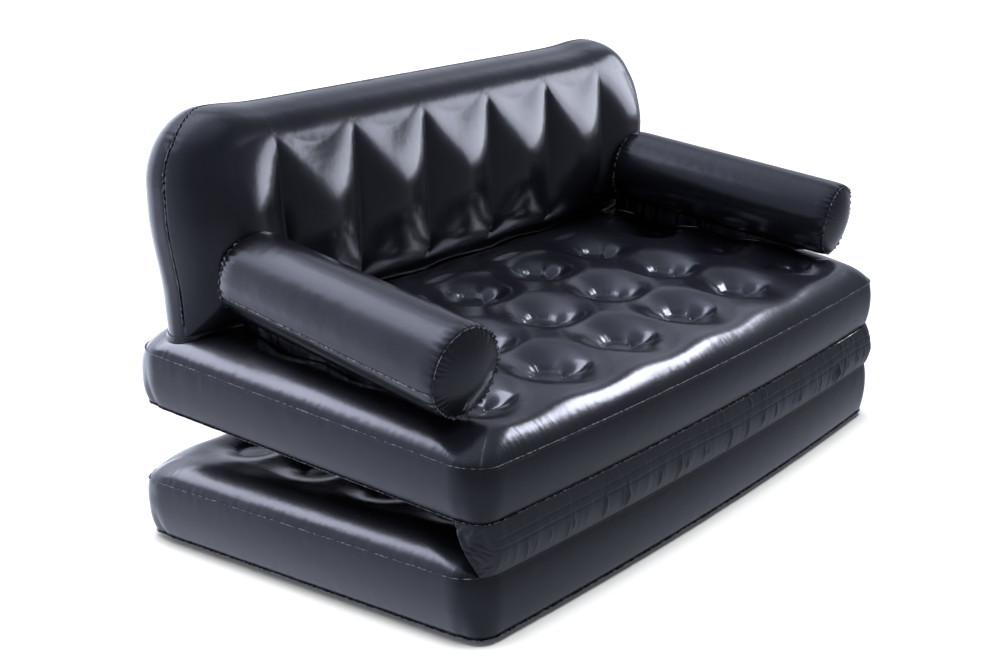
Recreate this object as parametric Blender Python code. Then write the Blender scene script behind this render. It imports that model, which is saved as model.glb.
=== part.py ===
"""Inflatable two-seat sofa that unfolds into a bed, in metres, +Z up, front towards -Y.

Each air chamber is a thin sheet of PVC with a port for its valve. Two mattresses
lie one on the other and fold out about the strip that joins their front edges.
"""

import math

import bmesh
import bpy
from mathutils import Matrix, Vector

# Sheets, fits and cutters
SKIN = 0.0004
FLAP_SKIN = 0.0006
GAP = 0.0003
CUT_OVERRUN = 0.006

# Outline that both mattresses share
WIDTH = 1.52
DEPTH = 0.80
CORNER_RADIUS = 0.06
FRONT_BOW = 0.026
SIDE_BULGE = 0.012
BELT_SHARES = (0.24, 0.76)

# Heights of the welded seams
BASE_SEAM_HEIGHT = 0.012
BASE_GUSSET = 0.117
JOIN_HEIGHT_FRONT = 0.090
JOIN_HEIGHT_REAR = 0.145
SEAT_GUSSET_FRONT = 0.100
SEAT_GUSSET_REAR = 0.110

# Crown of a free face, of the seat's underside and of the face pressed on the floor
CROWN = 0.046
SHOULDER = 0.019
SHOULDER_RISE = 0.034
SADDLE_DROP = 0.005
WELD_RISE = 0.010
UNDER_CROWN = 0.040
UNDER_SHOULDER_RISE = 0.015
FLOOR_SHOULDER_RISE = 0.010
FLOOR_SADDLE_DROP = 0.002
FLOOR_WELD_RISE = 0.003

# Tufts, where a coil beam ties the two faces together
TUFT_COLUMNS = 6
TUFT_ROWS = 4
TUFT_EDGE_X = 0.18
TUFT_EDGE_FRONT = 0.160
TUFT_EDGE_REAR = 0.125
PIT_RADIUS = 0.078
BEAM_RADIUS = 0.045
BEAM_SIDES = 8
BEAM_VENT = 0.012
ROW_STRIP_HEIGHT = 0.020
ROW_STRIP_SKIN = 0.0008

# Fold-out hinge in the strip along the front
FOLD_CLEARANCE = 0.004
FLAP_END_INSET = 0.012
GATHERS = 38
GATHER_DEPTH = 0.0018

# Backrest
BACK_WIDTH = 1.50
BACK_HEIGHT = 0.390
BACK_CORNER_RADIUS = 0.125
BACK_FOOT_DEPTH = 0.105
BACK_FOOT_REAR_INSET = 0.034
BACK_LEAN_RUN = 0.020
BACK_FRONT_DEPTH = 0.1065
BACK_REAR_DEPTH = 0.0635
FRONT_SWELL = 0.040
REAR_SWELL = 0.010
CREASES = 6
CREASE_PITCH = 0.2165
END_ROLL = 0.025
END_PANEL = 0.085
FLANGE_WIDTH = 0.012
FLANGE_GAP = 0.0015
MITRE_SHARE = 0.5
WEB_SKIN = 0.0005
WEB_EDGE_GAP = 0.0008
BACK_LEVEL_SHARES = (0.0, 0.10, 0.42, 0.78, 0.90, 0.965, 1.0)
BACK_FRONT_SHARES = (0.5, 0.94, 1.0, 0.92, 0.79, 0.455, 0.0)
BACK_REAR_SHARES = (0.84, 0.99, 1.0, 0.976, 0.85, 0.575, 0.0)
BACK_SWELL_SHARES = (0.0, 0.42, 0.875, 1.0, 0.675, 0.375, 0.0)
PANEL_LINE_SHARES = (0.3, 0.7)
END_ROLL_SHARE = 0.72
END_PANEL_SHARE = 0.93
END_SWELL_SHARE = 0.3

# Arms, two equal barrels with crowned ends
ARM_SIDES = 16
ARM_SEAM_RADIUS = 0.077
ARM_BARREL_RADIUS = 0.083
ARM_SWELL_LENGTH = 0.06
ARM_CAP_RISE = 0.022
ARM_CAP_STEP = 0.015
ARM_REAR_CAP_RISE = 0.012
ARM_REAR_CAP_STEP = 0.008
ARM_CAP_RADIUS = 0.046
ARM_SIDE_INSET = 0.072
ARM_FRONT_INSET = 0.076
ARM_YAW = math.radians(5.2)
ARM_FRONT_LIFT = 0.010
ARM_REAR_LIFT = 0.040
ARM_BACK_CLEARANCE = 0.014
ARM_PORT_SHARE = 0.33
SHARP_ANGLE = math.radians(40)

# Large screw valves in the rear walls of the mattresses
PORT_COLUMN = 4
VALVE_SIDES = 20
FLANGE_RADIUS = 0.030
FLANGE_THICKNESS = 0.0018
NECK_RADIUS = 0.0215
NECK_BORE = 0.0190
NECK_LENGTH = 0.016
INSERT_RIM_RADIUS = 0.0225
INSERT_RIM_THICKNESS = 0.0025
INSERT_RADIUS = 0.0184
INSERT_BORE = 0.0120
INSERT_LENGTH = 0.014
INSERT_COLLAR_RADIUS = 0.0155
INSERT_COLLAR_HEIGHT = 0.005
CAP_RADIUS = 0.0190
CAP_TOP = 0.0016
CAP_PLUG_RADIUS = 0.0112
CAP_PLUG_LENGTH = 0.0045
CAP_SKIRT_HEIGHT = 0.004
GRIP_LENGTH = 0.026
GRIP_WIDTH = 0.003
GRIP_HEIGHT = 0.004

# Small push-in valves of the backrest and the arms
STEM_SIDES = 12
STEM_FLANGE_RADIUS = 0.0130
STEM_FLANGE_THICKNESS = 0.0010
STEM_RADIUS = 0.0065
STEM_BORE = 0.0042
STEM_LENGTH = 0.016
STEM_LIP_RADIUS = 0.0062
STEM_LIP_HEIGHT = 0.0020
PLUG_HEAD_RADIUS = 0.0070
PLUG_HEAD_THICKNESS = 0.0018
PLUG_RADIUS = 0.0038
PLUG_LENGTH = 0.008

# Places that follow from the sizes above
HALF_WIDTH = WIDTH / 2
HALF_DEPTH = DEPTH / 2
TUFT_PITCH_X = (WIDTH - 2 * TUFT_EDGE_X) / (TUFT_COLUMNS - 1)
TUFT_PITCH_Y = (DEPTH - TUFT_EDGE_FRONT - TUFT_EDGE_REAR) / (TUFT_ROWS - 1)
BASE_TOP_SEAM = BASE_SEAM_HEIGHT + BASE_GUSSET
SEAT_LOW_FRONT = BASE_TOP_SEAM + JOIN_HEIGHT_FRONT
SEAT_LOW_REAR = BASE_TOP_SEAM + JOIN_HEIGHT_REAR
SEAT_HIGH_FRONT = SEAT_LOW_FRONT + SEAT_GUSSET_FRONT
SEAT_HIGH_REAR = SEAT_LOW_REAR + SEAT_GUSSET_REAR
FOLD_AXIS_Y = -(HALF_DEPTH + FRONT_BOW + SIDE_BULGE + FOLD_CLEARANCE)
FOLD_AXIS_Z = (BASE_TOP_SEAM + SEAT_LOW_FRONT) / 2
BACK_FOOT_Y = HALF_DEPTH - BACK_FOOT_REAR_INSET - BACK_FOOT_DEPTH / 2
ARM_FRONT_X = HALF_WIDTH - ARM_SIDE_INSET
VALVE_FACE = GAP + FLANGE_THICKNESS
VALVE_RIM = VALVE_FACE + GAP + INSERT_RIM_THICKNESS
VALVE_COLLAR = VALVE_RIM + INSERT_COLLAR_HEIGHT
VALVE_REACH = VALVE_COLLAR + GAP + CAP_TOP + GAP + GRIP_HEIGHT
REAR_WALL_Y = HALF_DEPTH + SIDE_BULGE
CENTRE_SHIFT = -(FOLD_AXIS_Y + FLAP_SKIN / 2 + REAR_WALL_Y + VALVE_REACH) / 2


def make_material(name, colour, roughness):
    """A plain plastic finish."""
    material = bpy.data.materials.new(name)
    material.use_nodes = True
    shader = material.node_tree.nodes["Principled BSDF"]
    shader.inputs["Base Color"].default_value = (*colour, 1.0)
    shader.inputs["Roughness"].default_value = roughness
    shader.inputs["Metallic"].default_value = 0.0
    return material


def make_empty(name, place, parent=None, turn=None):
    """An empty that carries pieces, standing on a joint's axis."""
    empty = bpy.data.objects.new(name, None)
    bpy.context.scene.collection.objects.link(empty)
    matrix = Matrix.Translation(place)
    if turn is not None:
        matrix = matrix @ turn.to_4x4()
    empty.matrix_basis = matrix
    empty.parent = parent
    return empty


def make_object(name, mesh_builder, material, parent, offset=(0.0, 0.0, 0.0)):
    """Turns a bmesh into a named object and frees the bmesh."""
    bmesh.ops.recalc_face_normals(mesh_builder, faces=mesh_builder.faces)
    bmesh.ops.triangulate(mesh_builder, faces=mesh_builder.faces)
    mesh = bpy.data.meshes.new(name)
    mesh_builder.to_mesh(mesh)
    mesh_builder.free()
    mesh.materials.append(material)
    piece = bpy.data.objects.new(name, mesh)
    bpy.context.scene.collection.objects.link(piece)
    piece.parent = parent
    piece.location = offset
    return piece


def add_skin(piece, thickness, side):
    """Gives a surface the thickness of its sheet: side -1 grows inwards, 0 both ways."""
    skin = piece.modifiers.new("Skin", "SOLIDIFY")
    skin.thickness = thickness
    skin.offset = side
    skin.use_even_offset = True
    skin.use_quality_normals = True


def round_off(piece, angle):
    """Shades a round piece smooth up to its sharp edges."""
    piece.data.shade_smooth()
    piece.data.set_sharp_from_angle(angle=angle)


def cut_port(piece, radius, sides, place, normal):
    """Opens a round port through one wall of a chamber, square to the wall."""
    cutter_mesh = bmesh.new()
    bmesh.ops.create_cone(
        cutter_mesh,
        cap_ends=True,
        segments=sides,
        radius1=radius,
        radius2=radius,
        depth=2 * CUT_OVERRUN,
    )
    mesh = bpy.data.meshes.new(piece.name + "_port_cutter")
    cutter_mesh.to_mesh(mesh)
    cutter_mesh.free()
    cutter = bpy.data.objects.new(mesh.name, mesh)
    bpy.context.scene.collection.objects.link(cutter)
    turn = Vector((0.0, 0.0, 1.0)).rotation_difference(normal)
    cutter.matrix_basis = Matrix.Translation(place) @ turn.to_matrix().to_4x4()
    cutter.parent = piece.parent
    cutter.hide_render = True
    cutter.display_type = "WIRE"
    cut = piece.modifiers.new("Port", "BOOLEAN")
    cut.operation = "DIFFERENCE"
    cut.solver = "EXACT"
    cut.object = cutter


# Mattresses


def seat_low_seam(y):
    """Height of the seat's lower seam, which rises towards the rear."""
    share = (y + HALF_DEPTH) / DEPTH
    return SEAT_LOW_FRONT + (SEAT_LOW_REAR - SEAT_LOW_FRONT) * share


def seat_high_seam(y):
    """Height of the seat's upper seam."""
    share = (y + HALF_DEPTH) / DEPTH
    return SEAT_HIGH_FRONT + (SEAT_HIGH_REAR - SEAT_HIGH_FRONT) * share


def seat_ridge(y):
    """Height of the ridges between the tufts on top of the seat."""
    return seat_high_seam(y) + CROWN


def base_low_seam(y):
    """Height of the base's lower seam."""
    return BASE_SEAM_HEIGHT


def base_high_seam(y):
    """Height of the base's upper seam."""
    return BASE_TOP_SEAM


def tuft_x(column):
    return (column - (TUFT_COLUMNS - 1) / 2) * TUFT_PITCH_X


def tuft_y(row):
    return TUFT_EDGE_FRONT - HALF_DEPTH + row * TUFT_PITCH_Y


def front_bow(x, y):
    """How far the front edge bows forward, fading to nothing at the rear."""
    across = 1 - (x / HALF_WIDTH) ** 2
    along = (HALF_DEPTH - y) / DEPTH
    return FRONT_BOW * across * along**2


def x_lines():
    """Grid lines across the width, each with what it runs along."""
    lines = [(-HALF_WIDTH, "seam"), (SHOULDER - HALF_WIDTH, "shoulder")]
    for column in range(TUFT_COLUMNS):
        centre = tuft_x(column)
        lines.append((centre - PIT_RADIUS, "flank"))
        lines.append((centre, "centre"))
        lines.append((centre + PIT_RADIUS, "flank"))
    lines.append((HALF_WIDTH - SHOULDER, "shoulder"))
    lines.append((HALF_WIDTH, "seam"))
    return lines


def y_lines():
    """Grid lines from front to rear, each with what it runs along."""
    lines = [(-HALF_DEPTH, "seam"), (SHOULDER - HALF_DEPTH, "shoulder")]
    for row in range(TUFT_ROWS):
        lines.append((tuft_y(row), "centre"))
        if row < TUFT_ROWS - 1:
            lines.append((tuft_y(row) + TUFT_PITCH_Y / 2, "flank"))
    lines.append((HALF_DEPTH - SHOULDER, "shoulder"))
    lines.append((HALF_DEPTH, "seam"))
    return lines


def relief(across, along, heights):
    """Rise of a grid point over the seam plane."""
    crown, shoulder, saddle_drop, weld = heights
    kinds = (across, along)
    if "seam" in kinds:
        return 0.0
    if "shoulder" in kinds:
        return shoulder
    if kinds == ("centre", "centre"):
        return weld
    if across == "centre":
        return crown - saddle_drop
    return crown


def corner_centre(x, y):
    """The nearest point of the rectangle that the corner arcs are struck from."""
    reach_x = HALF_WIDTH - CORNER_RADIUS
    reach_y = HALF_DEPTH - CORNER_RADIUS
    return Vector((max(-reach_x, min(reach_x, x)), max(-reach_y, min(reach_y, y))))


def rounded(x, y):
    """Moves a point of the square grid so that the corners of the grid are round."""
    centre = corner_centre(x, y)
    step = Vector((x, y)) - centre
    if step.x == 0 or step.y == 0:
        return Vector((x, y))
    return centre + step * max(abs(step.x), abs(step.y)) / step.length


def plan_point(x, y, bulge=0.0):
    """A grid point in plan, with its rounded corner, front bow and side bulge."""
    point = rounded(x, y)
    if bulge:
        outward = point - corner_centre(x, y)
        point = point + outward.normalized() * bulge
    return Vector((point.x, point.y - front_bow(x, y)))


def ring_of(columns, rows):
    """Grid indices round the outline, in order."""
    ring = [(i, 0) for i in range(columns - 1)]
    ring += [(columns - 1, j) for j in range(rows - 1)]
    ring += [(i, rows - 1) for i in range(columns - 1, 0, -1)]
    ring += [(0, j) for j in range(rows - 1, 0, -1)]
    return ring


def add_face_grid(builder, lines_x, lines_y, seam, heights, way):
    """The upper face of a mattress, or with way -1 the lower one."""
    grid = {}
    for i, (x, across) in enumerate(lines_x):
        for j, (y, along) in enumerate(lines_y):
            place = plan_point(x, y)
            height = seam(y) + way * relief(across, along, heights)
            grid[i, j] = builder.verts.new((place.x, place.y, height))
    for i in range(len(lines_x) - 1):
        for j in range(len(lines_y) - 1):
            corners = (grid[i, j], grid[i + 1, j], grid[i + 1, j + 1], grid[i, j + 1])
            centre_first = "centre" == lines_x[i][1]
            row_first = "centre" == lines_y[j][1]
            first = 0 if centre_first == row_first else 1
            for step in (0, 2):
                a, b, c = (corners[(first + step + k) % 4] for k in (0, 1, 2))
                builder.faces.new((a, b, c))
    return grid


def mattress(name, low_seam, high_seam, low_heights, high_heights, material, parent, offset):
    """One mattress chamber with tufted faces, round corners and a valve port."""
    builder = bmesh.new()
    lines_x = x_lines()
    lines_y = y_lines()
    top = add_face_grid(builder, lines_x, lines_y, high_seam, high_heights, 1)
    bottom = add_face_grid(builder, lines_x, lines_y, low_seam, low_heights, -1)
    ring = ring_of(len(lines_x), len(lines_y))
    levels = [[bottom[corner] for corner in ring]]
    for share in BELT_SHARES:
        belt = []
        for i, j in ring:
            x, y = lines_x[i][0], lines_y[j][0]
            place = plan_point(x, y, SIDE_BULGE)
            height = low_seam(y) + (high_seam(y) - low_seam(y)) * share
            belt.append(builder.verts.new((place.x, place.y, height)))
        levels.append(belt)
    levels.append([top[corner] for corner in ring])
    for low, high in zip(levels, levels[1:]):
        for k in range(len(ring)):
            after = (k + 1) % len(ring)
            builder.faces.new((low[k], low[after], high[after], high[k]))
    chamber = make_object(name, builder, material, parent, offset)
    add_skin(chamber, SKIN, -1)
    height = (low_seam(HALF_DEPTH) + high_seam(HALF_DEPTH)) / 2
    port = Vector((tuft_x(PORT_COLUMN), REAR_WALL_Y, height))
    cut_port(chamber, NECK_RADIUS + GAP, VALVE_SIDES, port + Vector(offset), Vector((0.0, 1.0, 0.0)))
    return port


def coil_row(name, row, low_seam, high_seam, low_weld, material, parent, offset):
    """One row of coil beams: closed drums with a vent, tied by a thin strip."""
    y = tuft_y(row)
    low = low_seam(y) - low_weld + SKIN + GAP
    high = high_seam(y) + WELD_RISE - SKIN - GAP
    builder = bmesh.new()
    for column in range(TUFT_COLUMNS):
        x = tuft_x(column)
        place = Vector((x, y - front_bow(x, y), (low + high) / 2))
        made = bmesh.ops.create_cone(
            builder,
            cap_ends=True,
            segments=BEAM_SIDES,
            radius1=BEAM_RADIUS,
            radius2=BEAM_RADIUS,
            depth=high - low,
            matrix=Matrix.Translation(place) @ Matrix.Rotation(math.pi / BEAM_SIDES, 4, "Z"),
        )
        for vertex in made["verts"]:
            seam = low_seam if vertex.co.z < place.z else high_seam
            vertex.co.z += seam(y + vertex.co.y - place.y) - seam(y)
        sides = {face for vertex in made["verts"] for face in vertex.link_faces}
        vented = max(sides, key=lambda face: face.calc_center_median().y)
        bmesh.ops.inset_region(builder, faces=[vented], thickness=BEAM_VENT)
        builder.faces.remove(vented)
    beams = make_object(name, builder, material, parent, offset)
    add_skin(beams, SKIN, -1)
    strip_builder = bmesh.new()
    middle = (low + high) / 2
    previous = None
    for column in range(TUFT_COLUMNS):
        x = tuft_x(column)
        place_y = y - front_bow(x, y)
        pair = []
        for dz in (-ROW_STRIP_HEIGHT / 2, ROW_STRIP_HEIGHT / 2):
            pair.append(strip_builder.verts.new((x, place_y, middle + dz)))
        if previous:
            strip_builder.faces.new((previous[0], pair[0], pair[1], previous[1]))
        previous = pair
    strip = make_object(name + "_strip", strip_builder, material, parent, offset)
    add_skin(strip, ROW_STRIP_SKIN, 0)
    strip.hide_render = True
    strip.display_type = "WIRE"
    tie = beams.modifiers.new("Tie", "BOOLEAN")
    tie.operation = "UNION"
    tie.solver = "EXACT"
    tie.object = strip


# Hinge strip


def flap(name, seam_height, material, parent, offset):
    """One half of the gathered strip, from a front seam to the fold line."""
    builder = bmesh.new()
    half_length = HALF_WIDTH - FLAP_END_INSET
    up = 1 if seam_height > FOLD_AXIS_Z else -1
    rows = []
    for k in range(GATHERS + 1):
        x = half_length * (2 * k / GATHERS - 1)
        seam_y = -HALF_DEPTH - front_bow(x, -HALF_DEPTH) - FLAP_SKIN - GAP
        seam = Vector((x, seam_y, seam_height - up * FLAP_SKIN / 2))
        fold = Vector((x, FOLD_AXIS_Y + FLAP_SKIN, FOLD_AXIS_Z + up * (FLAP_SKIN + GAP) / 2))
        middle = (seam + fold) / 2
        middle.y -= GATHER_DEPTH * (k % 2)
        rows.append([builder.verts.new(point) for point in (seam, middle, fold)])
    for this_row, next_row in zip(rows, rows[1:]):
        for a, b in ((0, 1), (1, 2)):
            builder.faces.new((this_row[a], next_row[a], next_row[b], this_row[b]))
    piece = make_object(name, builder, material, parent, offset)
    add_skin(piece, FLAP_SKIN, 0)
    return piece


# Backrest


def back_lines():
    """Grid lines across the backrest: place, share of the depth, share of the swell."""
    half = BACK_WIDTH / 2
    outer = (CREASES - 1) / 2 * CREASE_PITCH
    ends = [(half, 0.0, 0.0), (half - END_ROLL, END_ROLL_SHARE, 0.0)]
    ends.append((half - END_PANEL, END_PANEL_SHARE, END_SWELL_SHARE))
    ends.append((outer + PANEL_LINE_SHARES[0] * CREASE_PITCH, 1.0, END_SWELL_SHARE))
    lines = [(-x, depth, swell) for x, depth, swell in ends]
    for crease in range(CREASES):
        x = crease * CREASE_PITCH - outer
        lines.append((x, 1.0, 0.0))
        if crease < CREASES - 1:
            for share in PANEL_LINE_SHARES:
                lines.append((x + share * CREASE_PITCH, 1.0, 1.0))
    lines += [(x, depth, swell) for x, depth, swell in reversed(ends)]
    return lines


def back_outline(x, rise):
    """Rounds the two upper corners of the backrest's grid."""
    reach_x = BACK_WIDTH / 2 - BACK_CORNER_RADIUS
    reach_z = BACK_HEIGHT - BACK_CORNER_RADIUS
    centre = Vector((max(-reach_x, min(reach_x, x)), min(reach_z, rise)))
    step = Vector((x, rise)) - centre
    if step.x == 0 or step.y == 0:
        return Vector((x, rise))
    return centre + step * max(abs(step.x), abs(step.y)) / step.length


def back_point(line, level, face):
    """A point of the backrest's front (face -1) or rear (face 1) sheet."""
    x, depth_share, swell_share = line
    flat = back_outline(x, BACK_HEIGHT * BACK_LEVEL_SHARES[level])
    if face < 0:
        depth = BACK_FRONT_DEPTH * BACK_FRONT_SHARES[level]
        swell = FRONT_SWELL * BACK_SWELL_SHARES[level]
    else:
        depth = BACK_REAR_DEPTH * BACK_REAR_SHARES[level]
        swell = REAR_SWELL * BACK_SWELL_SHARES[level]
    lean = BACK_LEAN_RUN * flat.y / BACK_HEIGHT
    y = BACK_FOOT_Y + lean + face * (depth * depth_share + swell * swell_share)
    foot = seat_ridge(y) if level == 0 else seat_ridge(BACK_FOOT_Y)
    return Vector((flat.x, y, foot + GAP + flat.y))


def back_end_front():
    """The foremost place of the backrest's end panels, which the arms stop short of."""
    outer = (CREASES - 1) / 2 * CREASE_PITCH
    ends = [line for line in back_lines() if line[0] > outer]
    levels = range(1, len(BACK_LEVEL_SHARES))
    return min(back_point(line, level, -1).y for line in ends for level in levels)


def add_once(builder, made, point):
    """A vertex at this point, shared with any other sheet that ends there."""
    key = tuple(round(value / SKIN) for value in point)
    if key not in made:
        made[key] = builder.verts.new(point)
    return made[key]


def backrest(material, parent):
    """The backrest chamber: two sheets joined by a seam round the edge, and a foot."""
    builder = bmesh.new()
    made = {}
    lines = back_lines()
    levels = range(len(BACK_LEVEL_SHARES))
    sheets = {}
    for face in (-1, 1):
        for i, line in enumerate(lines):
            for level in levels:
                point = back_point(line, level, face)
                sheets[face, i, level] = add_once(builder, made, point)
    for face in (-1, 1):
        for i in range(len(lines) - 1):
            for level in levels[:-1]:
                corners = [sheets[face, i, level], sheets[face, i + 1, level]]
                corners += [sheets[face, i + 1, level + 1], sheets[face, i, level + 1]]
                builder.faces.new(corners)
    for i in range(len(lines) - 1):
        corners = [sheets[-1, i, 0], sheets[-1, i + 1, 0], sheets[1, i + 1, 0], sheets[1, i, 0]]
        builder.faces.new(list(dict.fromkeys(corners)))
    chamber = make_object("backrest_chamber", builder, material, parent)
    add_skin(chamber, SKIN, -1)
    panel = [k for k, line in enumerate(lines) if line[0] > 0 and line[2] == 1.0][1:3]
    corners = [back_point(lines[k], level, 1) for k in panel for level in (1, 2)]
    port = sum(corners, Vector()) / len(corners)
    normal = (corners[2] - corners[0]).cross(corners[1] - corners[0]).normalized()
    if normal.y < 0:
        normal = -normal
    cut_port(chamber, STEM_RADIUS + GAP, STEM_SIDES, port, normal)
    return port, normal


def web(name, crease, material, parent):
    """The sheet inside the backrest that ties a front crease to a rear one."""
    builder = bmesh.new()
    x = (crease - (CREASES - 1) / 2) * CREASE_PITCH
    line = (x, 1.0, 0.0)
    rows = []
    for level in range(1, len(BACK_LEVEL_SHARES) - 2):
        front = back_point(line, level, -1)
        rear = back_point(line, level, 1)
        front.y += SKIN + WEB_EDGE_GAP
        rear.y -= SKIN + WEB_EDGE_GAP
        rows.append((builder.verts.new(front), builder.verts.new(rear)))
    for low, high in zip(rows, rows[1:]):
        builder.faces.new((low[0], low[1], high[1], high[0]))
    piece = make_object(name, builder, material, parent)
    add_skin(piece, WEB_SKIN, 0)
    return piece


def foot_outline(grow):
    """The backrest's foot in plan, moved outwards by this much."""
    lines = back_lines()
    front = [back_point(line, 0, -1).xy for line in lines]
    rear = [back_point(line, 0, 1).xy for line in reversed(lines[1:-1])]
    outline = front + rear
    moved = []
    for k, point in enumerate(outline):
        before = (point - outline[k - 1]).normalized()
        after = (outline[(k + 1) % len(outline)] - point).normalized()
        outward = Vector((before.y + after.y, -before.x - after.x)).normalized()
        reach = max(outward.dot(Vector((after.y, -after.x))), MITRE_SHARE)
        moved.append(point + outward * grow / reach)
    return moved


def weld_flange(material, parent):
    """The strip of sheet that welds the foot of the backrest to the seat."""
    builder = bmesh.new()
    lift = GAP + FLAP_SKIN / 2
    rings = []
    for grow in (FLANGE_GAP, FLANGE_GAP + FLANGE_WIDTH):
        points = foot_outline(grow)
        rings.append([builder.verts.new((p.x, p.y, seat_ridge(p.y) + lift)) for p in points])
    for k in range(len(rings[0])):
        after = (k + 1) % len(rings[0])
        builder.faces.new((rings[0][k], rings[0][after], rings[1][after], rings[1][k]))
    piece = make_object("backrest_weld_flange", builder, material, parent)
    add_skin(piece, FLAP_SKIN, 0)
    return piece


# Arms


def arm_frame(side):
    """Matrix whose Z runs along the arm to the front, with its origin at the rear seam."""
    front_y = ARM_FRONT_INSET - HALF_DEPTH
    front = Vector((side * ARM_FRONT_X, front_y, 0.0))
    front.z = seat_ridge(front_y) + ARM_FRONT_LIFT + ARM_SEAM_RADIUS
    run = back_end_front() - ARM_BACK_CLEARANCE - front_y
    rear = front + Vector((-side * run * math.tan(ARM_YAW), run, 0.0))
    rear.z = seat_ridge(rear.y) + ARM_REAR_LIFT + ARM_SEAM_RADIUS
    along = (front - rear).normalized()
    across = Vector((0.0, 0.0, 1.0)).cross(along).normalized()
    up = along.cross(across)
    turn = Matrix((across, up, along)).transposed()
    return Matrix.Translation(rear) @ turn.to_4x4(), (front - rear).length


def arm_stations(length):
    """Place along the arm and radius of each ring, from the rear cap to the front cap."""
    stations = [(-ARM_REAR_CAP_STEP, ARM_CAP_RADIUS), (0.0, ARM_SEAM_RADIUS)]
    stations.append((ARM_SWELL_LENGTH, ARM_BARREL_RADIUS))
    stations.append((length - ARM_SWELL_LENGTH, ARM_BARREL_RADIUS))
    stations += [(length, ARM_SEAM_RADIUS), (length + ARM_CAP_STEP, ARM_CAP_RADIUS)]
    return stations


def ring_point(radius, k, sides):
    """Corner k of a ring whose lowest side is level."""
    angle = 2 * math.pi * (k + 0.5) / sides - math.pi / 2
    return Vector((radius * math.cos(angle), radius * math.sin(angle)))


def arm(name, side, material, parent):
    """One arm chamber, a barrel with crowned ends and a valve port low on its right."""
    frame, length = arm_frame(side)
    builder = bmesh.new()
    rings = []
    for place, radius in arm_stations(length):
        ring = []
        for k in range(ARM_SIDES):
            flat = ring_point(radius, k, ARM_SIDES)
            ring.append(builder.verts.new(frame @ Vector((flat.x, flat.y, place))))
        rings.append(ring)
    for low, high in zip(rings, rings[1:]):
        for k in range(ARM_SIDES):
            after = (k + 1) % ARM_SIDES
            builder.faces.new((low[k], low[after], high[after], high[k]))
    for ring, place in ((rings[0], -ARM_REAR_CAP_RISE), (rings[-1], length + ARM_CAP_RISE)):
        pole = builder.verts.new(frame @ Vector((0.0, 0.0, place)))
        for k in range(ARM_SIDES):
            builder.faces.new((ring[k], ring[(k + 1) % ARM_SIDES], pole))
    chamber = make_object(name, builder, material, parent)
    add_skin(chamber, SKIN, -1)
    round_off(chamber, SHARP_ANGLE)
    apothem = ARM_BARREL_RADIUS * math.cos(math.pi / ARM_SIDES)
    right = 1 if frame.to_3x3().col[0].x > 0 else -1
    flat = Vector((right, -1.0, 0.0)).normalized()
    port = frame @ (flat * apothem + Vector((0.0, 0.0, length * ARM_PORT_SHARE)))
    normal = frame.to_3x3() @ flat
    cut_port(chamber, STEM_RADIUS + GAP, STEM_SIDES, port, normal)
    return port, normal


def arm_weld_flap(name, side, material, parent):
    """The upright strip of sheet that welds the underside of an arm to the seat."""
    frame, length = arm_frame(side)
    builder = bmesh.new()
    rows = []
    for place, radius in arm_stations(length)[1:-1]:
        apothem = radius * math.cos(math.pi / ARM_SIDES)
        high = frame @ Vector((0.0, -apothem - GAP, place))
        low = Vector((high.x, high.y, seat_ridge(high.y) + GAP))
        rows.append((builder.verts.new(low), builder.verts.new(high)))
    for one, other in zip(rows, rows[1:]):
        builder.faces.new((one[0], other[0], other[1], one[1]))
    piece = make_object(name, builder, material, parent)
    add_skin(piece, FLAP_SKIN, 0)
    return piece


# Valves


def lathe(name, outline, sides, material, parent):
    """Turns a closed outline of (radius, height) about the valve's axis."""
    builder = bmesh.new()
    rings = []
    for radius, height in outline:
        if radius == 0:
            rings.append([builder.verts.new((0.0, 0.0, height))])
            continue
        ring = []
        for k in range(sides):
            flat = ring_point(radius, k, sides)
            ring.append(builder.verts.new((flat.x, flat.y, height)))
        rings.append(ring)
    for this_ring, next_ring in zip(rings, rings[1:] + rings[:1]):
        if len(this_ring) == 1 and len(next_ring) == 1:
            continue
        for k in range(sides):
            after = (k + 1) % sides
            corners = [this_ring[k % len(this_ring)], this_ring[after % len(this_ring)]]
            corners += [next_ring[after % len(next_ring)], next_ring[k % len(next_ring)]]
            builder.faces.new(list(dict.fromkeys(corners)))
    piece = make_object(name, builder, material, parent)
    round_off(piece, SHARP_ANGLE)
    return piece


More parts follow.
